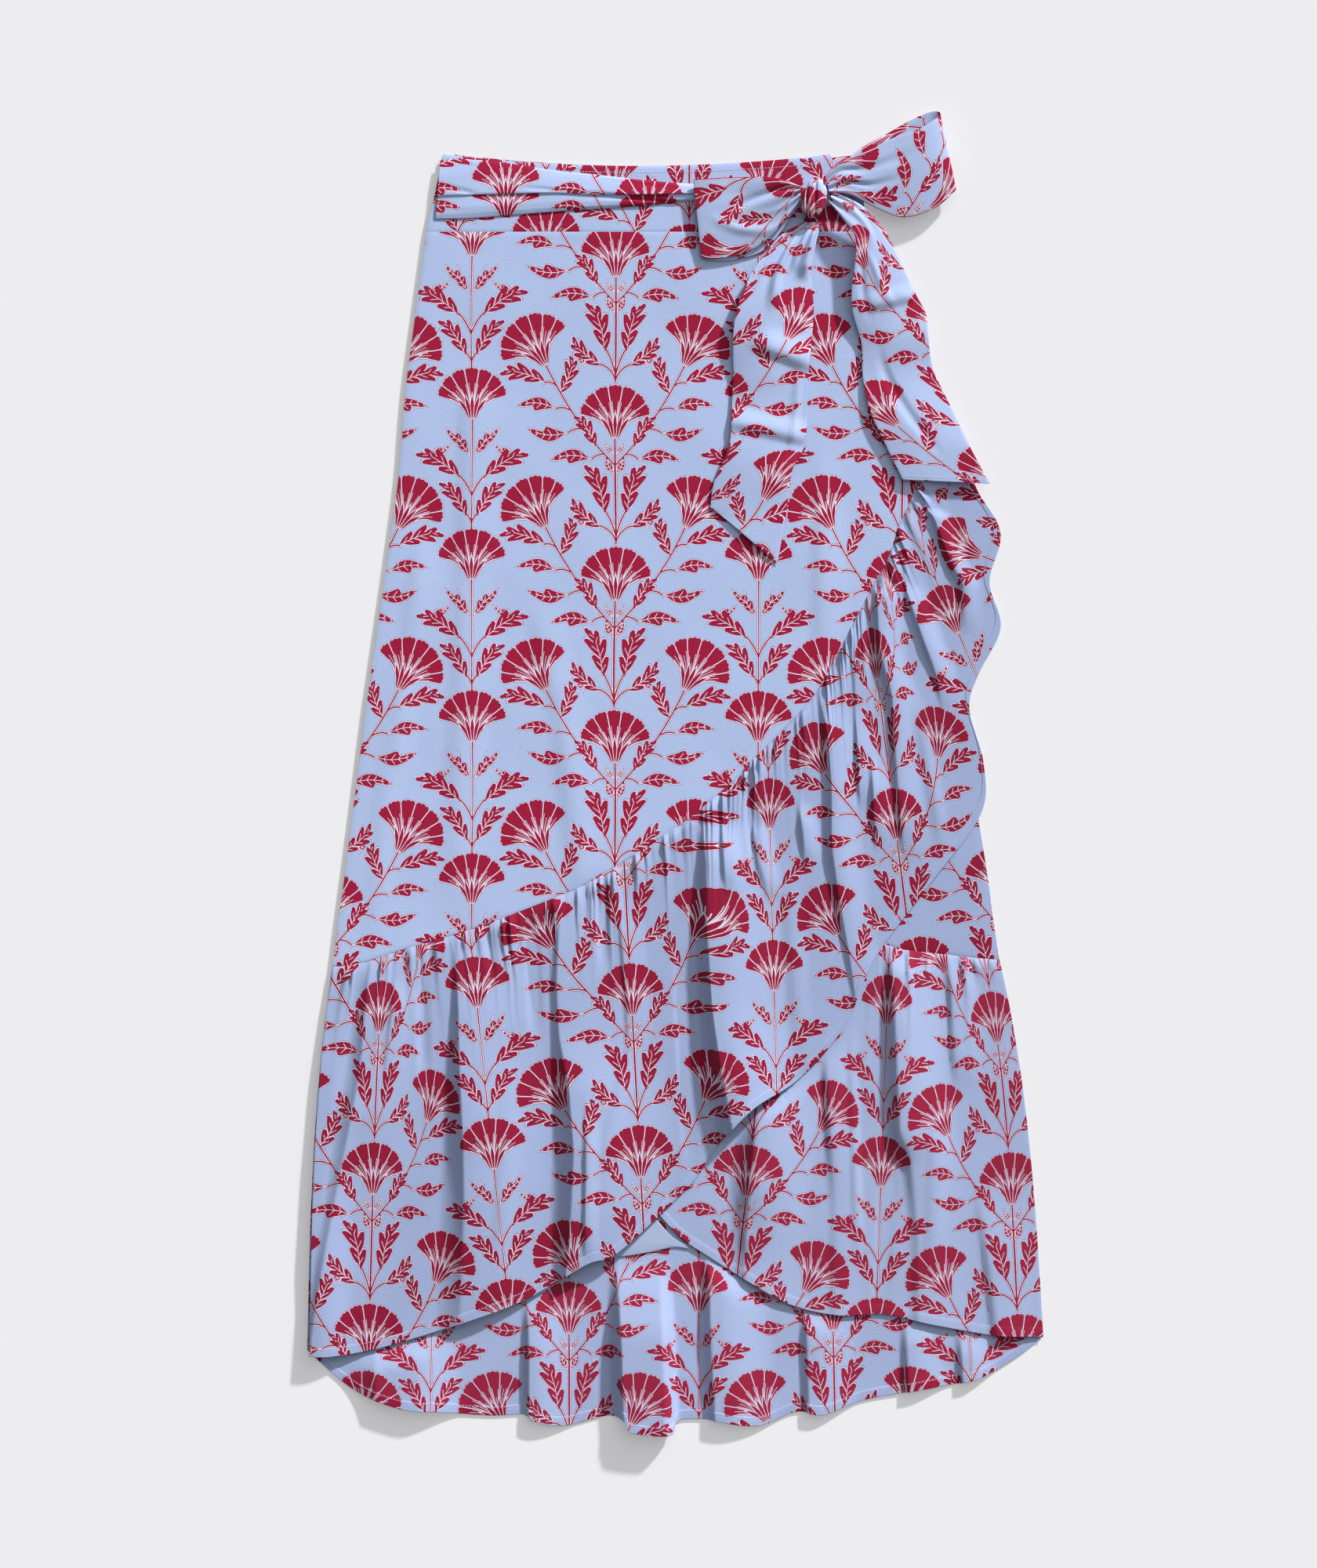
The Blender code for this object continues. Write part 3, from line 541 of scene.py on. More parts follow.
def makeRuffle(name, stations, covers, settings, materials):
    hem, hemRows, count = ruffleForm["hem"], settings["rows"] + 2, len(stations) - 1
    seam, down = stations[:, None, :2], (stations[:, 2:] - stations[:, :2])[:, None]
    depth = np.linalg.norm(down, axis=2)
    # rows down to the hem, then both sides of its upper edge, its middle and its fold
    upper = np.linspace(0, 1, settings["rows"] + 1) ** ruffleForm["crowding"] * (depth - hem - 1.2)
    lower = [depth - up for up in (hem + 0.4, hem - 0.4, hem / 2, 0.5, 0)]
    distance = np.concatenate([upper, *lower], axis=1)
    share = distance / depth
    flat = seam + down * share[..., None]
    for side, bow in settings["bows"]:
        inward = np.abs(flat[..., 0] - flat[side, :, 0])
        flat[..., 0] += bow * np.sin(math.pi * share ** 0.8) * blend(ruffleForm["bowReach"], 0, inward)
    x, y = flat[..., 0], flat[..., 1]
    fromLeft = np.linspace(0, 1, count + 1)[::1 if x[0, 0] < x[-1, 0] else -1, None]
    place = fromLeft + wobble("gathers", x, y) * blend(0, 25, distance)
    height = pleatHeight(flat, settings["pleats"]) * blend(-4, 16, distance)
    for seed, gathers in enumerate(settings["gathers"]):
        height = height + gatherHeight(np.clip(place, 0, 1), distance, gathers, seed + settings["layer"])
    height = height + wobble("ruffle", x, y) * blend(20, 90, distance)
    height = height + creaseHeight(flat, settings["creases"])
    if covers:
        free = np.min([outsideOf(flat, cover) for cover in covers], axis=0)
        height = height * blend(0, flatCloth["coverFade"], free)
    dip, width = flatCloth["ruffleSeamDip"]
    height = height - dip * (1 - blend(0, width, distance))
    height = height + settings["hemRise"] * blend(hem + 0.5, hem - 0.5, depth - distance)
    points = np.dstack([x, y, topOf(settings["layer"]) + np.maximum(height, -flatCloth["deepest"])])
    # the print is laid out from the hem, where the cloth is widest, and crowds together in the gathers
    outward = down[:, 0] / depth
    step = np.diff(points[:, -1], axis=0)
    stretch = np.linalg.norm(step, axis=1) / np.linalg.norm(step[:, :2], axis=1)
    middle = (outward[1:] + outward[:-1]) / 2
    around = (step[:, 1] * middle[:, 0] - step[:, 0] * middle[:, 1]) * stretch
    rise = -(step[:, :2] * middle).sum(axis=1)
    around, rise = (np.concatenate([[0], np.cumsum(values)])[:, None] for values in (around, rise))
    lengths = np.linalg.norm(np.diff(points, axis=1), axis=2)
    above = np.concatenate([np.cumsum(lengths[:, ::-1], axis=1)[:, ::-1], np.zeros((count + 1, 1))], axis=1)
    start = settings["printStart"]
    prints = np.dstack([np.broadcast_to(around, above.shape) + start[0], rise + above + start[1]])
    makeShell(name, points, prints, materials, settings.get("cutRow") and hemRows)
    return points[:, hemRows]


def makePanel(name, seam, left, right, settings, materials):
    # a panel on a Coons patch between the waistband seam, the ruffle seam and its two sides
    columns, rows = settings["grid"]
    across, down = (shares[..., None] for shares in gridShares(settings["grid"]))
    left, right = smoothRows(left, rows)[None], smoothRows(right, rows)[None]
    seam = evenRows([(*row, 0, 0) for row in seam], columns)[:, None, :2]
    upper = left[:, :1] + (right[:, :1] - left[:, :1]) * across
    flat = upper + (seam - upper) * down + (left + (right - left) * across)
    flat = flat - (upper + (seam[:1] + (seam[-1:] - seam[:1]) * across - upper) * down)
    x, y = flat[..., 0], flat[..., 1]
    dip, width = flatCloth["panelSeamDip"]
    height = creaseHeight(flat, settings["creases"]) + wobble("panel", x, y)
    # distance from the nearest edge, on a panel of about 300 by 400 mm
    edge = np.minimum(np.minimum(across, 1 - across) * 300, np.minimum(down, 1 - down) * 400)[..., 0]
    height = height * blend(0, 12, edge) - dip * (1 - blend(0, width, edge)) * blend(0, 0.02, down[..., 0])
    points = np.dstack([x, y, topOf(settings["layer"]) + height])
    start = settings["printStart"]
    # the print strays a little from straight
    prints = np.dstack([x - start[0] + wobble("printAcross", x, y), y - start[1] + wobble("printUp", x, y)])
    makeShell(name, points, prints, materials)


def makeWaistband(name, settings, materials):
    across, down = gridShares(settings["grid"])
    ends, seam = settings["top"], settings["seam"]
    upper = waist["top"] - waist["dip"] * np.sin(math.pi * across) ** 0.8
    left, right = (ends[side] + (seam[side] - ends[side]) * down for side in (0, 1))
    x = left + (right - left) * across
    y = (1 - down) * upper + down * waist["seam"]
    dip, width = flatCloth["bandEdgeDip"]
    height = wobble("waistband", x, y) * blend(0, 0.15, down) * blend(0, 0.15, 1 - down)
    points = np.dstack([x, y, topOf(settings["layer"]) + height - dip * (1 - blend(0, width, down))])
    start = settings["printStart"]
    makeShell(name, points, np.dstack([x - start[0], y - start[1]]), materials)
    return points


overRuffle = {
    "layer": 2, "columns": 640, "rows": 52, "hemRise": 0.3, "printStart": (-47, 6),
    "bows": [(0, -5.5)],        # which side bows out, and how far
    "gathers": [(84, 2.6, 17), (46, 2.0, 26)],      # how many, their height and their reach from the seam
    # seam x and y, hem x and y, from the side seam round to the waist
    "stations": [
        (-272, -154, -290, -464), (-249, -151, -270, -464), (-224, -143, -231, -457),
        (-194, -134, -169, -438), (-149, -120, -118, -419), (-90, -97, -70, -391),
        (-59, -82, -44, -381), (-6, -48, 12, -329), (12, -36, 28, -306), (47, -6, 39, -291),
        (62, 10, 64, -266), (88, 36, 100, -243), (114, 66, 136, -201), (141, 116, 159, -149),
        (159, 151, 201, -92), (168, 166, 243.5, -34), (174, 182, 246.5, 7), (179, 198, 235, 51),
        (185, 210, 242, 78), (189, 219, 260, 116), (192, 228, 251, 152), (192, 238, 260, 191),
        (190, 248, 242, 224), (188, 257, 232, 249),
    ],
    "pleats": [
        (10, 30, [(-277, -170, 0.5, 5), (-284, -230, 3, 5), (-289, -300, 4.5, 5), (-294, -380, 6, 5),
                  (-294, -430, 5.5, 5), (-294, -464, 3, 5)]),
        (2, 60, [(-244, -150, 1, 6), (-246, -190, 5, 10), (-250, -237, 7, 12), (-256, -271, 8, 14),
                 (-268, -330, 5, 9), (-284, -416, 4, 6), (-291, -466, 4, 6)]),
        (3, 70, [(-174, -140, 1, 5), (-172, -187, 6, 6), (-171, -230, 9, 12), (-168, -290, 11, 18),
                 (-167, -340, 10, 20), (-170, -421, 6, 20), (-174, -450, 5, 16)]),
        (4, 80, [(-90, -98, 1, 5), (-94, -165, 4, 6), (-92, -209, 5, 8), (-84, -250, 10, 13),
                 (-80, -300, 12, 18), (-82, -346, 11, 18), (-86, -396, 8, 12), (-88, -420, 7, 10)]),
        (6, 60, [(22, -40, 1, 5), (25, -70, 8, 8), (26, -130, 12, 10), (30, -190, 13, 12),
                 (37, -240, 15, 15), (48, -296, 14, 14)]),
        (1, 26, [(116, 60, 1, 3), (122, 29, 5, 5), (125, -10, 6, 7), (125, -59, 6, 7),
                 (131, -100, 4, 6), (140, -150, 3, 5), (146, -190, 1, 4)]),
        (1, 16, [(144, 50, 1, 3), (146, 20, 4, 4), (147, -9, 3, 4), (149, -30, 0, 3)]),
        (1, 16, [(157, 14, 0, 3), (158, -10, 4, 4), (159, -40, 3, 4), (161, -60, 0, 3)]),
        (1, 22, [(158, 150, 2, 4), (161, 141, 6, 6), (163, 98, 6, 6), (173, 60, 5, 5),
                 (176, 10, 4, 5), (180, -40, 3, 4), (184, -70, 0, 4)]),
        (1, 18, [(184, 150, 1, 3), (187, 137, 4, 4), (200, 100, 4, 4), (208, 79, 3, 4), (214, 50, 0, 4)]),
        (1, 16, [(200, 210, 1, 3), (206, 204, 4, 4), (220, 165, 4, 4), (229, 151, 4, 4),
                 (230, 128, 2, 4), (232, 110, 0, 3)]),
        (1, 16, [(38, -40, 1, 3), (39, -60, 4, 4), (40, -80, 3, 4), (42, -95, 0, 3)]),
        (1, 16, [(62, -40, 1, 3), (64, -54, 4, 4), (67, -72, 3, 4), (73, -90, 2, 4), (76, -102, 0, 3)]),
        (1, 14, [(99, -24, 0, 3), (101, -40, 4, 4), (103, -58, 3, 4), (104, -75, 0, 3)]),
        (1, 12, [(-70, -258, 0, 3), (-70, -300, 3, 4), (-71, -370, 2.5, 4), (-71, -385, 0, 3)]),
        (1, 20, [(-45, -100, 0, 3), (-42, -130, 2.5, 4), (-38, -180, 2, 4), (-36, -230, 0, 3)]),
        (1, 18, [(-222, -165, 0, 3), (-224, -185, 2.5, 4), (-228, -220, 1.5, 4), (-230, -260, 0, 3)]),
    ],
    # from x and y, to x and y, height, width on the line's left and on its right, fade
    "creases": [
        (-201, -160, -200, -243, -1.6, 9, 6, 0.3), (-149, -122, -144, -163, -1.5, 7, 6, 0.3),
        (-116, -109, -111, -209, -1.6, 10, 8, 0.3), (-57, -88, -56, -155, -1.8, 7, 7, 0.3),
        (4, -148, 12, -304, -1.6, 12, 8, 0.3), (59, -8, 65, -71, -2.0, 8, 7, 0.3),
        (-30, -200, -60, -330, 1.2, 12, 10, 0.3), (-130, -250, -140, -400, 1.0, 14, 10, 0.3),
        (192, 60, 215, -60, 1.2, 8, 8, 0.3), (90, -80, 100, -220, 1.2, 14, 10, 0.3),
    ],
}
underRuffle = {
    "layer": 1, "columns": 420, "rows": 46, "hemRise": 0.3, "printStart": (20, 30),
    "bows": [(0, 7.0)],
    "gathers": [(80, 2.4, 17), (44, 1.9, 26)],
    "stations": [
        (259, -149, 294, -449), (235, -147, 255, -448), (210, -144, 209, -440),
        (192, -142, 191, -436), (175, -139, 166, -431), (150, -128, 131, -432),
        (125, -115, 94, -424), (94, -96, 59, -405), (56, -79, 27, -385), (19, -56, 1, -366),
        (-19, -28, -38, -321), (-56, 7, -75, -278), (-100, 54, -112, -234), (-131, 104, -162, -165),
        (-162, 154, -198, -102), (-184, 191, -222, -34), (-197, 216, -219, 54),
        (-204, 241, -213, 141), (-206, 257, -204, 241),
    ],
    "pleats": [
        (2, 45, [(172, -142, 1, 4), (173, -160, 6, 6), (175, -200, 9, 9), (177, -250, 10, 11),
                 (179, -290, 8, 10), (188, -309, 4, 8), (194, -370, 2, 8)]),
        (3, 50, [(70, -250, 9, 12), (64, -290, 10, 16), (60, -330, 10, 18), (58, -365, 5, 14),
                 (56, -385, 3, 10)]),
        (1, 24, [(218, -150, 1, 3), (220, -170, 3, 4), (222, -225, 2.5, 4), (225, -250, 0, 4)]),
        (1, 24, [(120, -210, 1, 4), (121, -240, 3.5, 6), (124, -290, 3.5, 6), (128, -340, 1, 6)]),
        (2, 40, [(240, -330, 0, 4), (248, -380, 2.5, 4), (256, -450, 3, 4)]),
    ],
    "creases": [
        (171, -309, 162, -423, -1.2, 12, 8, 0.3), (141, -214, 146, -380, 1.2, 7, 5, 0.3),
        (55, -359, 61, -381, 1.2, 6, 6, 0.3), (210, -260, 205, -400, 1.0, 14, 10, 0.3),
    ],
}
backRuffle = {
    "layer": 0, "columns": 330, "rows": 46, "hemRise": 0.45, "printStart": (12, -8),
    "bows": [(0, -5.5), (-1, 7.0)],
    "gathers": [],
    "stations": [
        (-272, -154, -292.5, -460), (-244, -162, -257, -490), (-212, -165, -219, -505.5),
        (-181, -168, -184, -509), (-150, -170, -147, -512), (-122, -171, -120, -511),
        (-112, -171, -112, -516), (-88, -172, -88, -520), (-59, -173, -53, -512),
        (-44, -173, -39, -516), (-38, -173, -34, -524), (-8, -173, -3, -526.4), (0, -173, 3, -516),
        (25, -172, 25, -515), (62, -172, 66, -520), (88, -171, 97, -509), (112, -170, 119, -511),
        (141, -169, 150, -500), (169, -167, 181, -494), (200, -164, 216, -488),
        (228, -159, 244, -482), (244, -156, 272, -466), (259, -149, 294, -449),
    ],
    "pleats": [
        (30, 40, [(-240, -430, 6, 30), (-236, -520, 10, 30)]),
        (4, 36, [(-117, -420, 3, 6), (-116, -459, 6, 6), (-116, -520, 6, 6)]),
        (33, 12, [(-46, -392, 0, 7), (-45, -412, 6, 8), (-43, -446, 13, 10), (-40, -528, 14, 11)]),
        (8, 45, [(27, -384, 6, 6), (28, -446, 8, 8), (32, -520, 7, 6)]),
        (6, 36, [(104, -400, 3, 5), (105, -440, 5, 6), (107, -515, 5, 6)]),
        (6, 30, [(184, -440, 3, 5), (186, -486, 5, 6), (187, -505, 5, 6)]),
        (6, 24, [(227, -440, 3, 5), (230, -486, 5, 6), (232, -500, 5, 6)]),
    ],
    "creases": [],
    "cutRow": True,     # its hem shows its other side
}
overStations, underStations, backStations = (
    evenRows(settings["stations"], settings["columns"])
    for settings in (overRuffle, underRuffle, backRuffle)
)
overOutline = frontOutline(overStations[::8], sides["left"], sides["overFree"])
underOutline = frontOutline(underStations[::8], sides["right"], sides["underFree"])
faceUp, faceDown = [voileFace, voileBack], [voileBack, voileFace]
# the cloth with painted shade goes on the ruffles and on the under panel
paintedShadeUp, paintedShadeDown = [voilePaintedShade, voilePaintedShadeBack], [voilePaintedShadeBack, voilePaintedShade]
overHem = makeRuffle("overRuffle", overStations, [], overRuffle, paintedShadeUp)
underHem = makeRuffle("underRuffle", underStations, [overOutline], underRuffle, paintedShadeUp)
backHem = makeRuffle("backRuffle", backStations, [overOutline, underOutline], backRuffle, paintedShadeDown)
print("ruffles made")

panels = {
    "over": {
        "layer": 2, "grid": (110, 90), "printStart": (-47, 0),
        "creases": [
            (-162, 320, -165, 170, 1.3, 30, 12, 0.3), (-164, 200, -176, -89, 1.5, 30, 13, 0.3),
            (-110, 130, -93, 50, 1.2, 26, 11, 0.3), (-93, 70, -74, -104, 1.6, 30, 11, 0.3),
            (-201, 190, -212, 95, 1.1, 20, 10, 0.3), (-217, 80, -221, 0, 1.0, 18, 9, 0.3),
            (117, 250, 119, 75, 1.3, 24, 12, 0.3), (-225, 60, -240, -130, 0.9, 18, 12, 0.3),
        ],
    },
    "under": {"layer": 1, "grid": (90, 70), "printStart": (31, 20), "creases": []},
    "back": {"layer": 0, "grid": (80, 60), "printStart": (-10, 40), "creases": []},
}
overSeam, underSeam, backSeam = overStations[:, :2], underStations[::-1, :2], backStations[:, :2]
makePanel("overPanel", overSeam, sides["left"], sides["overFree"], panels["over"], faceUp)
# the under panel takes the cloth with painted shade as well
makePanel("underPanel", underSeam, sides["underFree"], sides["right"], panels["under"], paintedShadeUp)
makePanel("backPanel", backSeam, sides["left"], sides["right"], panels["back"], faceDown)
print("panels made")

# x of both ends at the top, and at the seam
waistbands = {
    "front": {
        "layer": 2, "grid": (90, 20), "top": (-184, 124), "seam": (-197, 153), "printStart": (12, 0),
    },
    "under": {
        "layer": 1, "grid": (60, 12), "top": (-175, 148), "seam": (-185, 153), "printStart": (60, 30),
    },
    "back": {
        "layer": 0, "grid": (60, 12), "top": (-184, 148), "seam": (-197, 153), "printStart": (0, 70),
    },
}
frontBand = makeWaistband("frontWaistband", waistbands["front"], faceUp)
makeWaistband("underWaistband", waistbands["under"], faceUp)
makeWaistband("backWaistband", waistbands["back"], faceDown)

# the stretch of the under ruffle's hem that is turned under and shows its wrong side
turnedHem = {
    "grid": (60, 12), "foldDip": (0.3, 0.2),        # depth, and its share of the way up
    # upper x and y, lower x and y
    "edges": [
        (-78, -359, -72, -391), (-56, -342, -51, -386), (-38, -334, -34, -384),
        (-21, -348, -17, -381), (-3, -368, -1, -378), (9, -376, 11, -379),
    ],
}


def makeTurnedHem(settings):
    edges = smoothRows(settings["edges"], settings["grid"][0])[:, None]
    down = gridShares(settings["grid"])[1]
    flat = edges[..., :2] + (edges[..., 2:] - edges[..., :2]) * down[..., None]
    dip, width = settings["foldDip"]
    height = wobble("turnedHem", flat[..., 0], flat[..., 1]) - dip * (1 - blend(0, width, 1 - down))
    points = np.dstack([flat, topOf(1) + height])
    makeShell("underRuffleTurnedHem", points, flat, [plainVoile, plainVoile])


makeTurnedHem(turnedHem)
print("waistbands made")


# the tie

tieBand = {
    "columns": 150, "floor": 4.5, "lowest": 0.6, "printStart": (-20, 42), "clothWidth": 59,
    "printJump": 14,        # how much of the print the fold hides
    # way down, where 1 is the fold and 2 the lower edge: from, to and how many rows
    "ways": [(0, 0.9, 22), (0.93, 1.05, 9), (1.09, 2, 18)],
    # x, upper edge, fold, lower edge and fold height
    "rows": [
        (-185, 488, 459, 441, 1.7), (-163, 488.5, 460, 441.5, 1.7), (-125, 484.5, 461, 444.5, 2.0),
        (-94, 479.5, 461.5, 447, 2.3), (-63, 476.5, 460, 449, 2.5), (-25, 472, 460, 451.5, 2.7),
        (15, 469, 461, 455.5, 2.9), (62, 466, 461, 454, 2.6), (99, 464, 460, 452, 2.4),
    ],
    # way down, and share of the fold's height
    "section": [
        (0, -0.3), (0.08, 0.0), (0.25, 0.35), (0.45, 0.62), (0.7, 0.85), (0.85, 0.97), (0.94, 1.05),
        (1, 0.9), (1.02, 0.25), (1.2, 0.3), (1.5, 0.42), (1.8, 0.25), (2, -0.3),
    ],
    # from x and y, to x and y, height, widths, fade
    "creases": [
        (-186, 467, -158, 461, -0.8, 3, 3, 0.3), (-120, 466, -40, 458, -0.7, 3, 4, 0.3),
        (-60, 461, 4, 453, -1.0, 3, 3, 0.3), (20, 464, 98, 461, -0.8, 2.5, 2.5, 0.3),
        (-60, 475, 20, 466, 0.5, 4, 3, 0.3),
    ],
}


def makeTieBand(settings):
    table = smoothRows(settings["rows"], settings["columns"])
    way = np.concatenate([np.linspace(*stretch) for stretch in settings["ways"]])
    lift = np.interp(way, *np.array(settings["section"]).T)
    x, upper, fold, lower, height = (column[:, None] for column in table.T)
    y = np.where(way <= 1, upper + (fold - upper) * way, fold + (lower - fold) * (way - 1))
    # its end slants out where it turns to the back
    x = x - (1.5 + 1.8 * way) * blend(-155, -185, x)
    flat = np.dstack([x, y])
    height = height * lift + creaseHeight(flat, settings["creases"])
    height = height + wobble("tie", x, y * 3) * blend(0, 0.2, way) * blend(0, 0.2, 2 - way)
    height = np.maximum(layers["wall"] + height, settings["lowest"])
    points = np.dstack([flat, settings["floor"] + height])
    start = settings["printStart"]
    prints = np.dstack([x - start[0], y - start[1] + settings["printJump"] * (way > 1)])
    makeShell("tieBand", points, prints, [voileFace, voileFace])


# strips of the bow, each a row of sections out from the knot, with the print up or down along them
# sections: one edge's x, y and z, then the other's; pleats: how many, their height and reach from the knot
# creases: from across and along, to across and along, height, widths, fade
bowStrips = {
    "bowLoopLeft": {
        "grid": (26, 150), "crown": 0.7, "pleats": (3.4, 1.3, 22), "printStart": (0, 20), "printWay": 1,
        "sections": [
            (100, 466, 15.0, 100, 455, 14.5), (78, 473, 14.0, 80, 430, 10.8),
            (47, 473, 12.8, 58, 414.5, 8.4), (24, 472, 13.0, 30, 409, 8.2),
            (15, 471, 12.0, 21.5, 411, 7.8), (24, 470, 9.2, 30, 408, 5.6),
            (47, 469, 8.5, 50, 409, 5.5), (78, 466, 9.0, 75, 419, 6.0), (100, 463, 9.6, 100, 453, 8.6),
        ],
        "creases": [
            (10, 0, 24, 60, -1.8, 5, 6, 0.3), (44, 5, 34, 60, -1.4, 5, 6, 0.3),
            (56, 20, 30, 72, 1.4, 6, 6, 0.3),
        ],
    },
    "bowLoopRight": {
        "grid": (26, 190), "crown": 1.0, "pleats": (2.6, 1.2, 20), "printStart": (0, 60), "printWay": 1,
        "sections": [
            (123, 461, 14.5, 120, 473, 15.5), (140, 459, 14.0, 130, 485, 16.5),
            (162, 448, 12.0, 149, 492, 17.5), (183, 441.5, 11.0, 172, 503, 17.5),
            (207, 449, 11.0, 194, 511, 17.0), (220.5, 460, 10.5, 207, 519, 15.5),
            (224, 465, 8.5, 211.5, 524.4, 12.0), (216, 467, 5.6, 204, 525.8, 7.5),
            (198, 460, 4.2, 187, 519, 4.8), (180, 452, 4.6, 168, 508, 5.2),
            (154, 457, 6.6, 146, 495, 6.6), (126, 460, 9.0, 123, 473, 9.0),
        ],
        "creases": [(20, 5, 30, 60, -1.2, 5, 5, 0.3), (42, 8, 44, 70, -1.0, 6, 5, 0.3)],
    },
    "tailLeft": {
        "grid": (26, 170), "crown": 1.2, "pleats": (2.4, 0.8, 22), "printStart": (15, 40), "printWay": -1,
        "sections": [
            (103, 438, 7.0, 117, 438, 7.0), (84, 427, 8.5, 113, 422, 9.0),
            (60, 394, 13.5, 109, 397, 7.0), (48, 359, 14.0, 111, 366, 6.2), (47, 316, 7.5, 107, 322, 8.5),
            (46, 296, 6.5, 106, 298, 7.5), (44, 262, 9.0, 104, 262, 6.0), (32, 232, 7.0, 94, 241, 8.5),
            (29, 213, 5.8, 89, 205, 7.0), (30, 211, 5.6, 82, 167, 5.8),
        ],
        "creases": [
            (50, 0, 53, 52, 6.0, 13, 5, 0.25), (24, 14, 27, 74, 4.2, 6, 7, 0.3),
            (12, 10, 10, 60, 1.6, 5, 6, 0.3), (37, 4, 39, 44, 3.6, 4, 5, 0.3),
            (16, 102, 64, 126, 3.4, 9, 18, 0.25), (52, 130, 48, 190, 1.4, 5, 5, 0.3),
            (-4, 166, 62, 180, 2.8, 9, 16, 0.25),
        ],
    },
    "tailRight": {
        "grid": (26, 180), "crown": 1.2, "pleats": (2.4, 1.3, 26), "printStart": (-70, 10), "printWay": -1,
        "sections": [
            (122.4, 454, 14.0, 126, 461, 14.5), (134, 439, 18.0, 148, 451, 16.0),
            (143, 427, 18.5, 164.5, 435, 13.5), (144, 410, 17.5, 177, 412.5, 11.5),
            (141, 384, 14.5, 191, 382.5, 9.5), (142, 366, 11.5, 200, 365.5, 9.0),
            (149, 341, 8.0, 202, 346.5, 10.5), (150, 316, 7.5, 206, 321.5, 8.0),
            (156, 288, 9.5, 220.5, 290, 9.0), (169, 259, 9.0, 236, 257.5, 11.0),
            (182, 233, 9.0, 251, 230, 10.0),
        ],
        "creases": [
            (8, 60, 12, 110, -1.4, 5, 5, 0.3), (16, 140, 34, 220, -1.5, 7, 5, 0.3),
            (10, 104, 60, 90, 2.2, 8, 12, 0.3), (20, 60, 34, 100, 1.2, 6, 6, 0.3),
        ],
    },
}


def makeStrip(name, settings):
    across, _ = gridShares(settings["grid"])
    sections = smoothRows(settings["sections"], settings["grid"][1])
    points = sections[None, :, :3] * (1 - across)[..., None] + sections[None, :, 3:] * across[..., None]
    points[..., 2] += settings["crown"] * np.sin(math.pi * across)
    along = travelledAlong((sections[:, :3] + sections[:, 3:]) / 2)[None]
    flat = np.dstack(np.broadcast_arrays(across * tieBand["clothWidth"], along))
    count, rise, reach = settings["pleats"]
    near = np.exp(-along / reach)
    if "Loop" in name:      # both its ends are in the knot
        near = near + np.exp(-(along[:, -1:] - along) / reach)
    phase = across * count + 0.15 * np.sin(along / 11 + across * 5)
    height = rise * near * np.sin(2 * math.pi * phase) * blend(0, 0.08, across) * blend(0, 0.08, 1 - across)
    height = height + creaseHeight(flat, settings["creases"]) + wobble("strip", flat[..., 0], flat[..., 1])
    normal = np.cross(np.gradient(points, axis=0), -np.gradient(points, axis=1))
    points = points + normal / np.linalg.norm(normal, axis=2, keepdims=True) * height[..., None]
    prints = flat * np.array([1, settings["printWay"]]) + np.array(settings["printStart"])
    makeShell(name, points, prints, [voileFace, voileFace])
    return points


knot = {
    "centre": (111, 456.5, 13.0), "radii": (10.0, 16.5, 8.0), "turn": -14, "segments": 64, "rings": 40,
    # creases between its folds: depth, waves in x, in y and their start, and how narrow they are
    "groove": 2.4, "grooves": (4.4, 1.6, -0.5), "sharpness": 10,
    "fine": 0.2, "fineWaves": (15, 3.4, 1.5),       # and finer ones
    "flatness": 1.7, "printSize": (14, 22), "printLean": 8, "printStart": 40,
}


def makeKnot(settings):
    # a tight wrap: a rounded lump, flat below, with slanting creases between its folds
    mesh = bmesh.new()
    bmesh.ops.create_uvsphere(mesh, u_segments=settings["segments"], v_segments=settings["rings"], radius=1)
    printMap = mesh.loops.layers.uv.new("printMap")
    (width, height), lean, start = settings["printSize"], settings["printLean"], settings["printStart"]
    for face in mesh.faces:
        face.smooth = True
        for loop in face.loops:
            unit = loop.vert.co
            loop[printMap].uv = ((unit.x * width + unit.z * lean) * mm, (unit.y * height + start) * mm)
    centre, radii = Vector(settings["centre"]), settings["radii"]
    turn = Matrix.Rotation(math.radians(settings["turn"]), 3, "Z")
    acrossWaves, upWaves, phase = settings["grooves"]
    for vertex in mesh.verts:
        unit = vertex.co.copy()
        wave = math.cos(acrossWaves * unit.x + upWaves * unit.y + phase)
        crease = settings["groove"] * wave ** settings["sharpness"]
        crease += settings["fine"] * math.cos(unit.dot(settings["fineWaves"])) ** 2
        bulge = math.copysign(1 - (1 - abs(unit.z)) ** settings["flatness"], unit.z)
        place = (unit.x * radii[0], unit.y * (radii[1] - crease), bulge * (radii[2] - crease))
        place = turn @ Vector(place) + centre
        place.z = max(place.z, tieBand["floor"])
        vertex.co = place * mm
    addObject("tieKnot", mesh, [voileFace])


makeTieBand(tieBand)
strips = {name: makeStrip(name, settings) for name, settings in bowStrips.items()}
makeKnot(knot)
print("tie made")


# stitches

stitching = {"length": 1.9, "pitch": 2.8, "width": 0.34, "height": 0.22, "lift": 0.06, "fromTailEnd": 4}
# sewing cotton: pale, and a little smoother than the cloth
thread = addMaterial("cottonSewingThread", {
    "Base Color": toLinear("#c4cdea"), "Roughness": 0.6, "Specular IOR Level": 0.4,
})


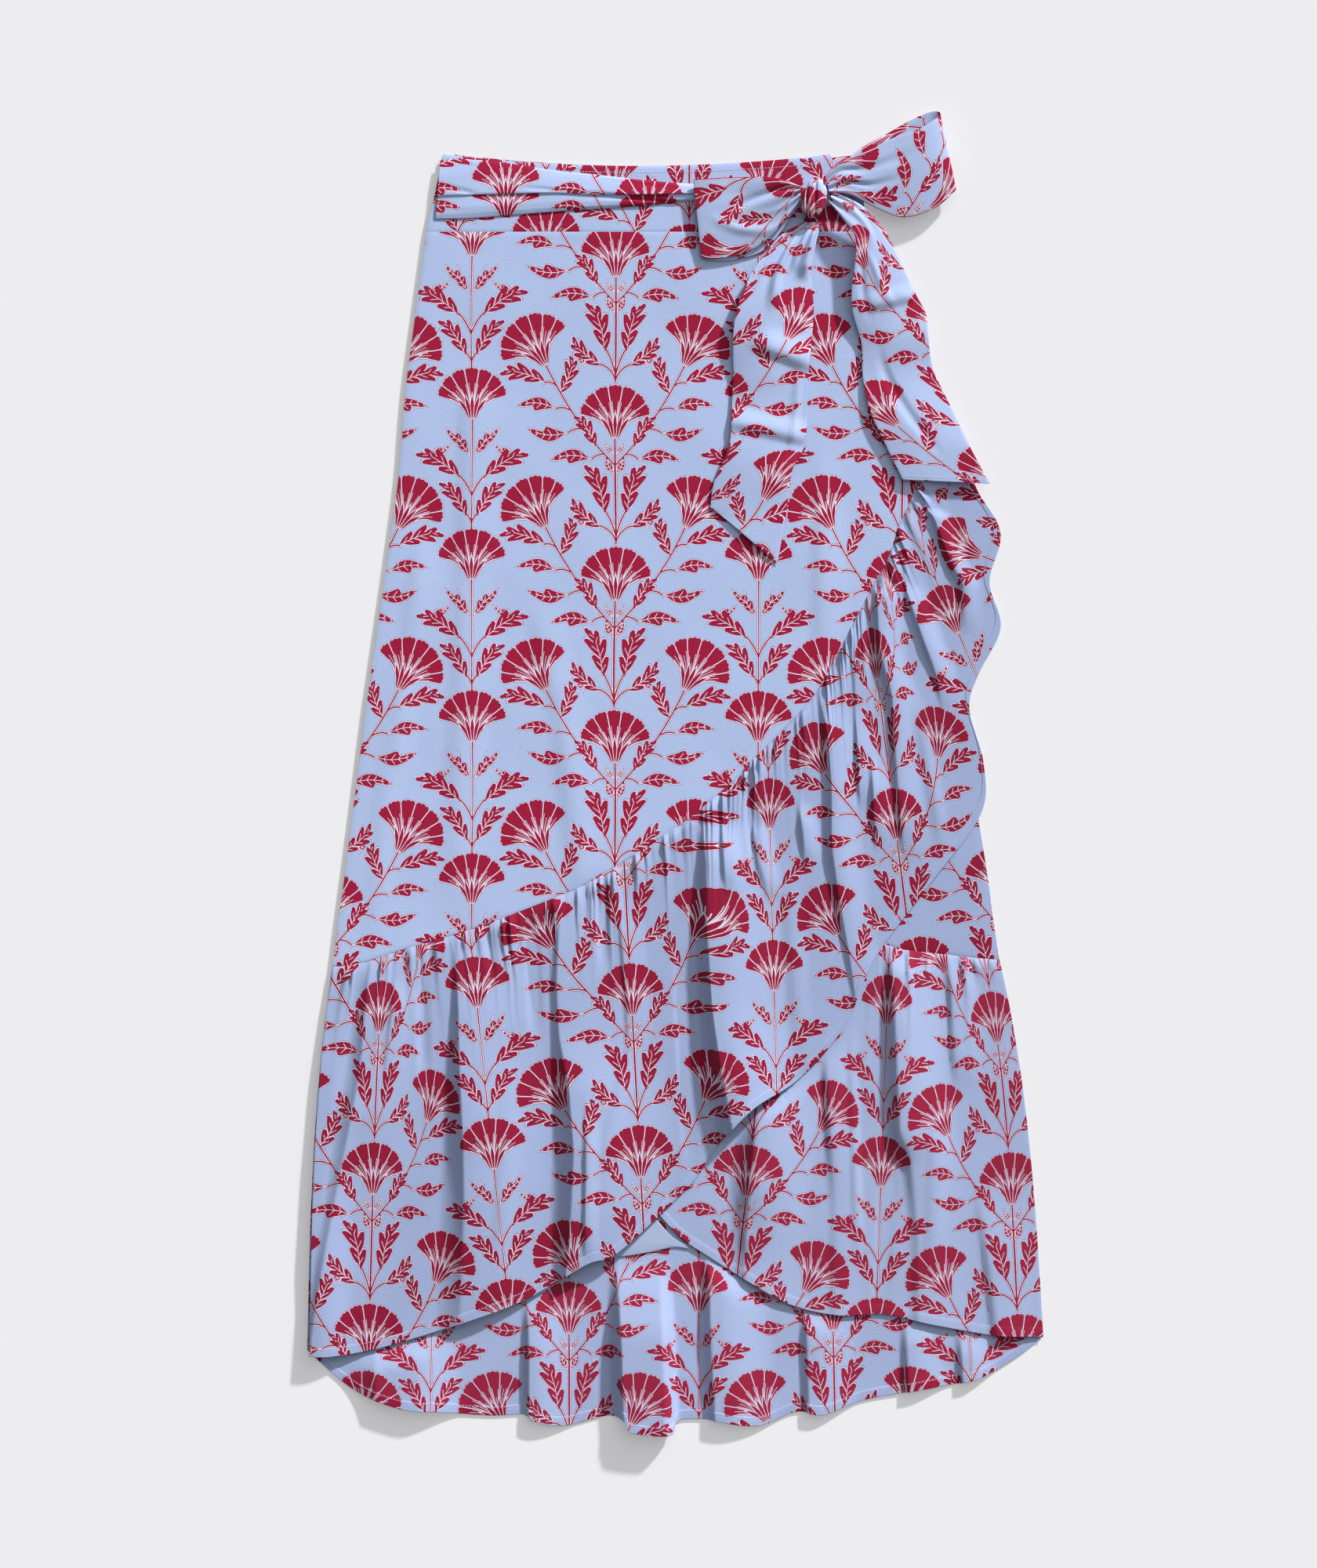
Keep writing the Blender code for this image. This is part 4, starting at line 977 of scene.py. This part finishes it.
def makeStitches(name, lines, settings):
    # a running line of short threads along each line of points
    mesh = bmesh.new()
    size = Vector((settings["length"], settings["width"], settings["height"])) * mm
    for line in lines:
        travelled = travelledAlong(line)
        starts = np.arange(settings["pitch"], travelled[-1] - settings["pitch"], settings["pitch"])
        ends = np.stack([starts, starts + settings["length"]])
        placed = np.stack([np.interp(ends, travelled, column) for column in line.T], axis=-1)
        for one, two in zip(*placed):
            middle = Vector((one + two) / 2) + Vector((0, 0, settings["lift"]))
            turn = Vector(two - one).to_track_quat("X", "Z").to_matrix()
            for vertex in bmesh.ops.create_cube(mesh, size=1)["verts"]:
                vertex.co = turn @ (vertex.co * size) + middle * mm
    return addObject(name, mesh, [thread])


def rowAt(points, share):
    # the line across a grid of points at a share of its way down
    return points[:, round(share * (points.shape[1] - 1))]


tailEnd = 1 - stitching["fromTailEnd"] / 250        # of a tail 250 mm long
tieEnds = [rowAt(strips[name], tailEnd) for name in ("tailLeft", "tailRight")]
stitches = {
    "front_cloth": [
        makeStitches("hemStitches", [overHem, underHem, backHem], stitching),
        makeStitches("waistbandStitches", [rowAt(frontBand, 0.1)], stitching),
    ],
    "tie_cloth": [makeStitches("tieStitches", tieEnds, stitching)],
}
print("stitches made")


# what each piece stands for, its slot, how it is held and what it rests on
# cut: width and length of its cloth before it was sewn, and its area where that is no rectangle, in metres
cuts = {
    "overRuffle": (
        "over_ruffle", "front_cloth", "gathered", ["over_panel", "under_ruffle"], (1.02, 0.33), 0.191,
    ),
    "underRuffle": (
        "under_ruffle", "front_cloth", "gathered", ["under_panel", "back_ruffle"], (0.95, 0.31), 0.166,
    ),
    "backRuffle": ("back_ruffle", "back_cloth", "gathered", ["floor"], (0.65, 0.37), 0.206),
    "overPanel": ("over_panel", "front_cloth", "laid", ["under_panel"], (0.47, 0.59), 0.192),
    "underPanel": ("under_panel", "front_cloth", "laid", ["back_panel"], (0.47, 0.58), 0.18),
    "backPanel": ("back_panel", "back_cloth", "laid", ["floor"], (0.53, 0.61), 0.264),
    "frontWaistband": ("front_waistband", "front_cloth", "laid", ["under_waistband"], (0.35, 0.055), None),
    "underWaistband": ("under_waistband", "front_cloth", "laid", ["back_waistband"], (0.34, 0.055), None),
    "backWaistband": ("back_waistband", "back_cloth", "laid", ["floor"], (0.35, 0.055), None),
    "underRuffleTurnedHem": (
        "under_ruffle_turned_hem", "back_cloth", "folded", ["back_ruffle"], (0.089, 0.057), 0.0029,
    ),
    "tieBand": ("tie_band", "tie_cloth", "folded", ["front_waistband"], (0.29, 0.035), None),
    "bowLoopLeft": ("bow_loop_left", "tie_cloth", "folded", ["tie_band"], (0.174, 0.059), None),
    "bowLoopRight": ("bow_loop_right", "tie_cloth", "folded", ["front_waistband"], (0.206, 0.059), None),
    "tailLeft": ("tail_left", "tie_cloth", "gathered", ["over_panel"], (0.26, 0.059), None),
    "tailRight": ("tail_right", "tie_cloth", "gathered", ["over_panel"], (0.252, 0.059), None),
    "tieKnot": ("knot", "tie_cloth", None, None, None, None),
}


# floor, light and camera

stageSettings = {
    "floorSize": 8,
    "paint": {
        "Base Color": toLinear("#c9c9cb"), "Roughness": 0.9, "Specular IOR Level": 0.1,
        "Emission Color": toLinear("#ededef"), "Emission Strength": 0.31,
    },
    # strength, and width, azimuth and elevation in degrees
    "lamps": {"key": (4.6, 3.5, 57, 22), "fill": (1.05, 70, 57, 52)},
    "sky": 0.185,
    # in metres: where the camera is, looking straight down, and the width of what it sees
    "camera": (-0.0125, -0.00875, 3.5), "viewHeight": 1.25,
}


def makeStage(settings):
    link = bpy.context.scene.collection.objects.link
    mesh = bmesh.new()
    bmesh.ops.create_grid(mesh, x_segments=1, y_segments=1, size=settings["floorSize"] / 2)
    paint = addMaterial("paleMattFloor", settings["paint"])      # even, and lit a little from below
    addObject("floor", mesh, [paint])
    for name, (strength, *angles) in settings["lamps"].items():
        width, azimuth, elevation = (math.radians(angle) for angle in angles)
        lamp = bpy.data.objects.new(name, bpy.data.lights.new(name, "SUN"))
        lamp.data.energy = strength
        lamp.data.angle = width
        toLamp = Vector((math.cos(azimuth), math.sin(azimuth), math.tan(elevation)))
        lamp.rotation_euler = toLamp.to_track_quat("Z", "Y").to_euler()
        link(lamp)
    world = bpy.data.worlds.new("world")
    world.use_nodes = True
    world.node_tree.nodes["Background"].inputs["Color"].default_value = (1, 1, 1, 1)
    world.node_tree.nodes["Background"].inputs["Strength"].default_value = settings["sky"]
    bpy.context.scene.world = world
    camera = bpy.data.objects.new("camera", bpy.data.cameras.new("camera"))
    camera.location = settings["camera"]
    camera.data.lens = camera.data.sensor_width * camera.location.z / settings["viewHeight"]
    link(camera)
    bpy.context.scene.camera = camera
    bpy.context.scene.view_settings.view_transform = "Standard"


makeStage(stageSettings)
for name, (node, slot, held, base, cut, area) in cuts.items():
    piece = bpy.data.objects[name]
    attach(piece, "root")
    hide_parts(node)
for slot, pieces in stitches.items():
    for piece in pieces:
        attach(piece, "root")
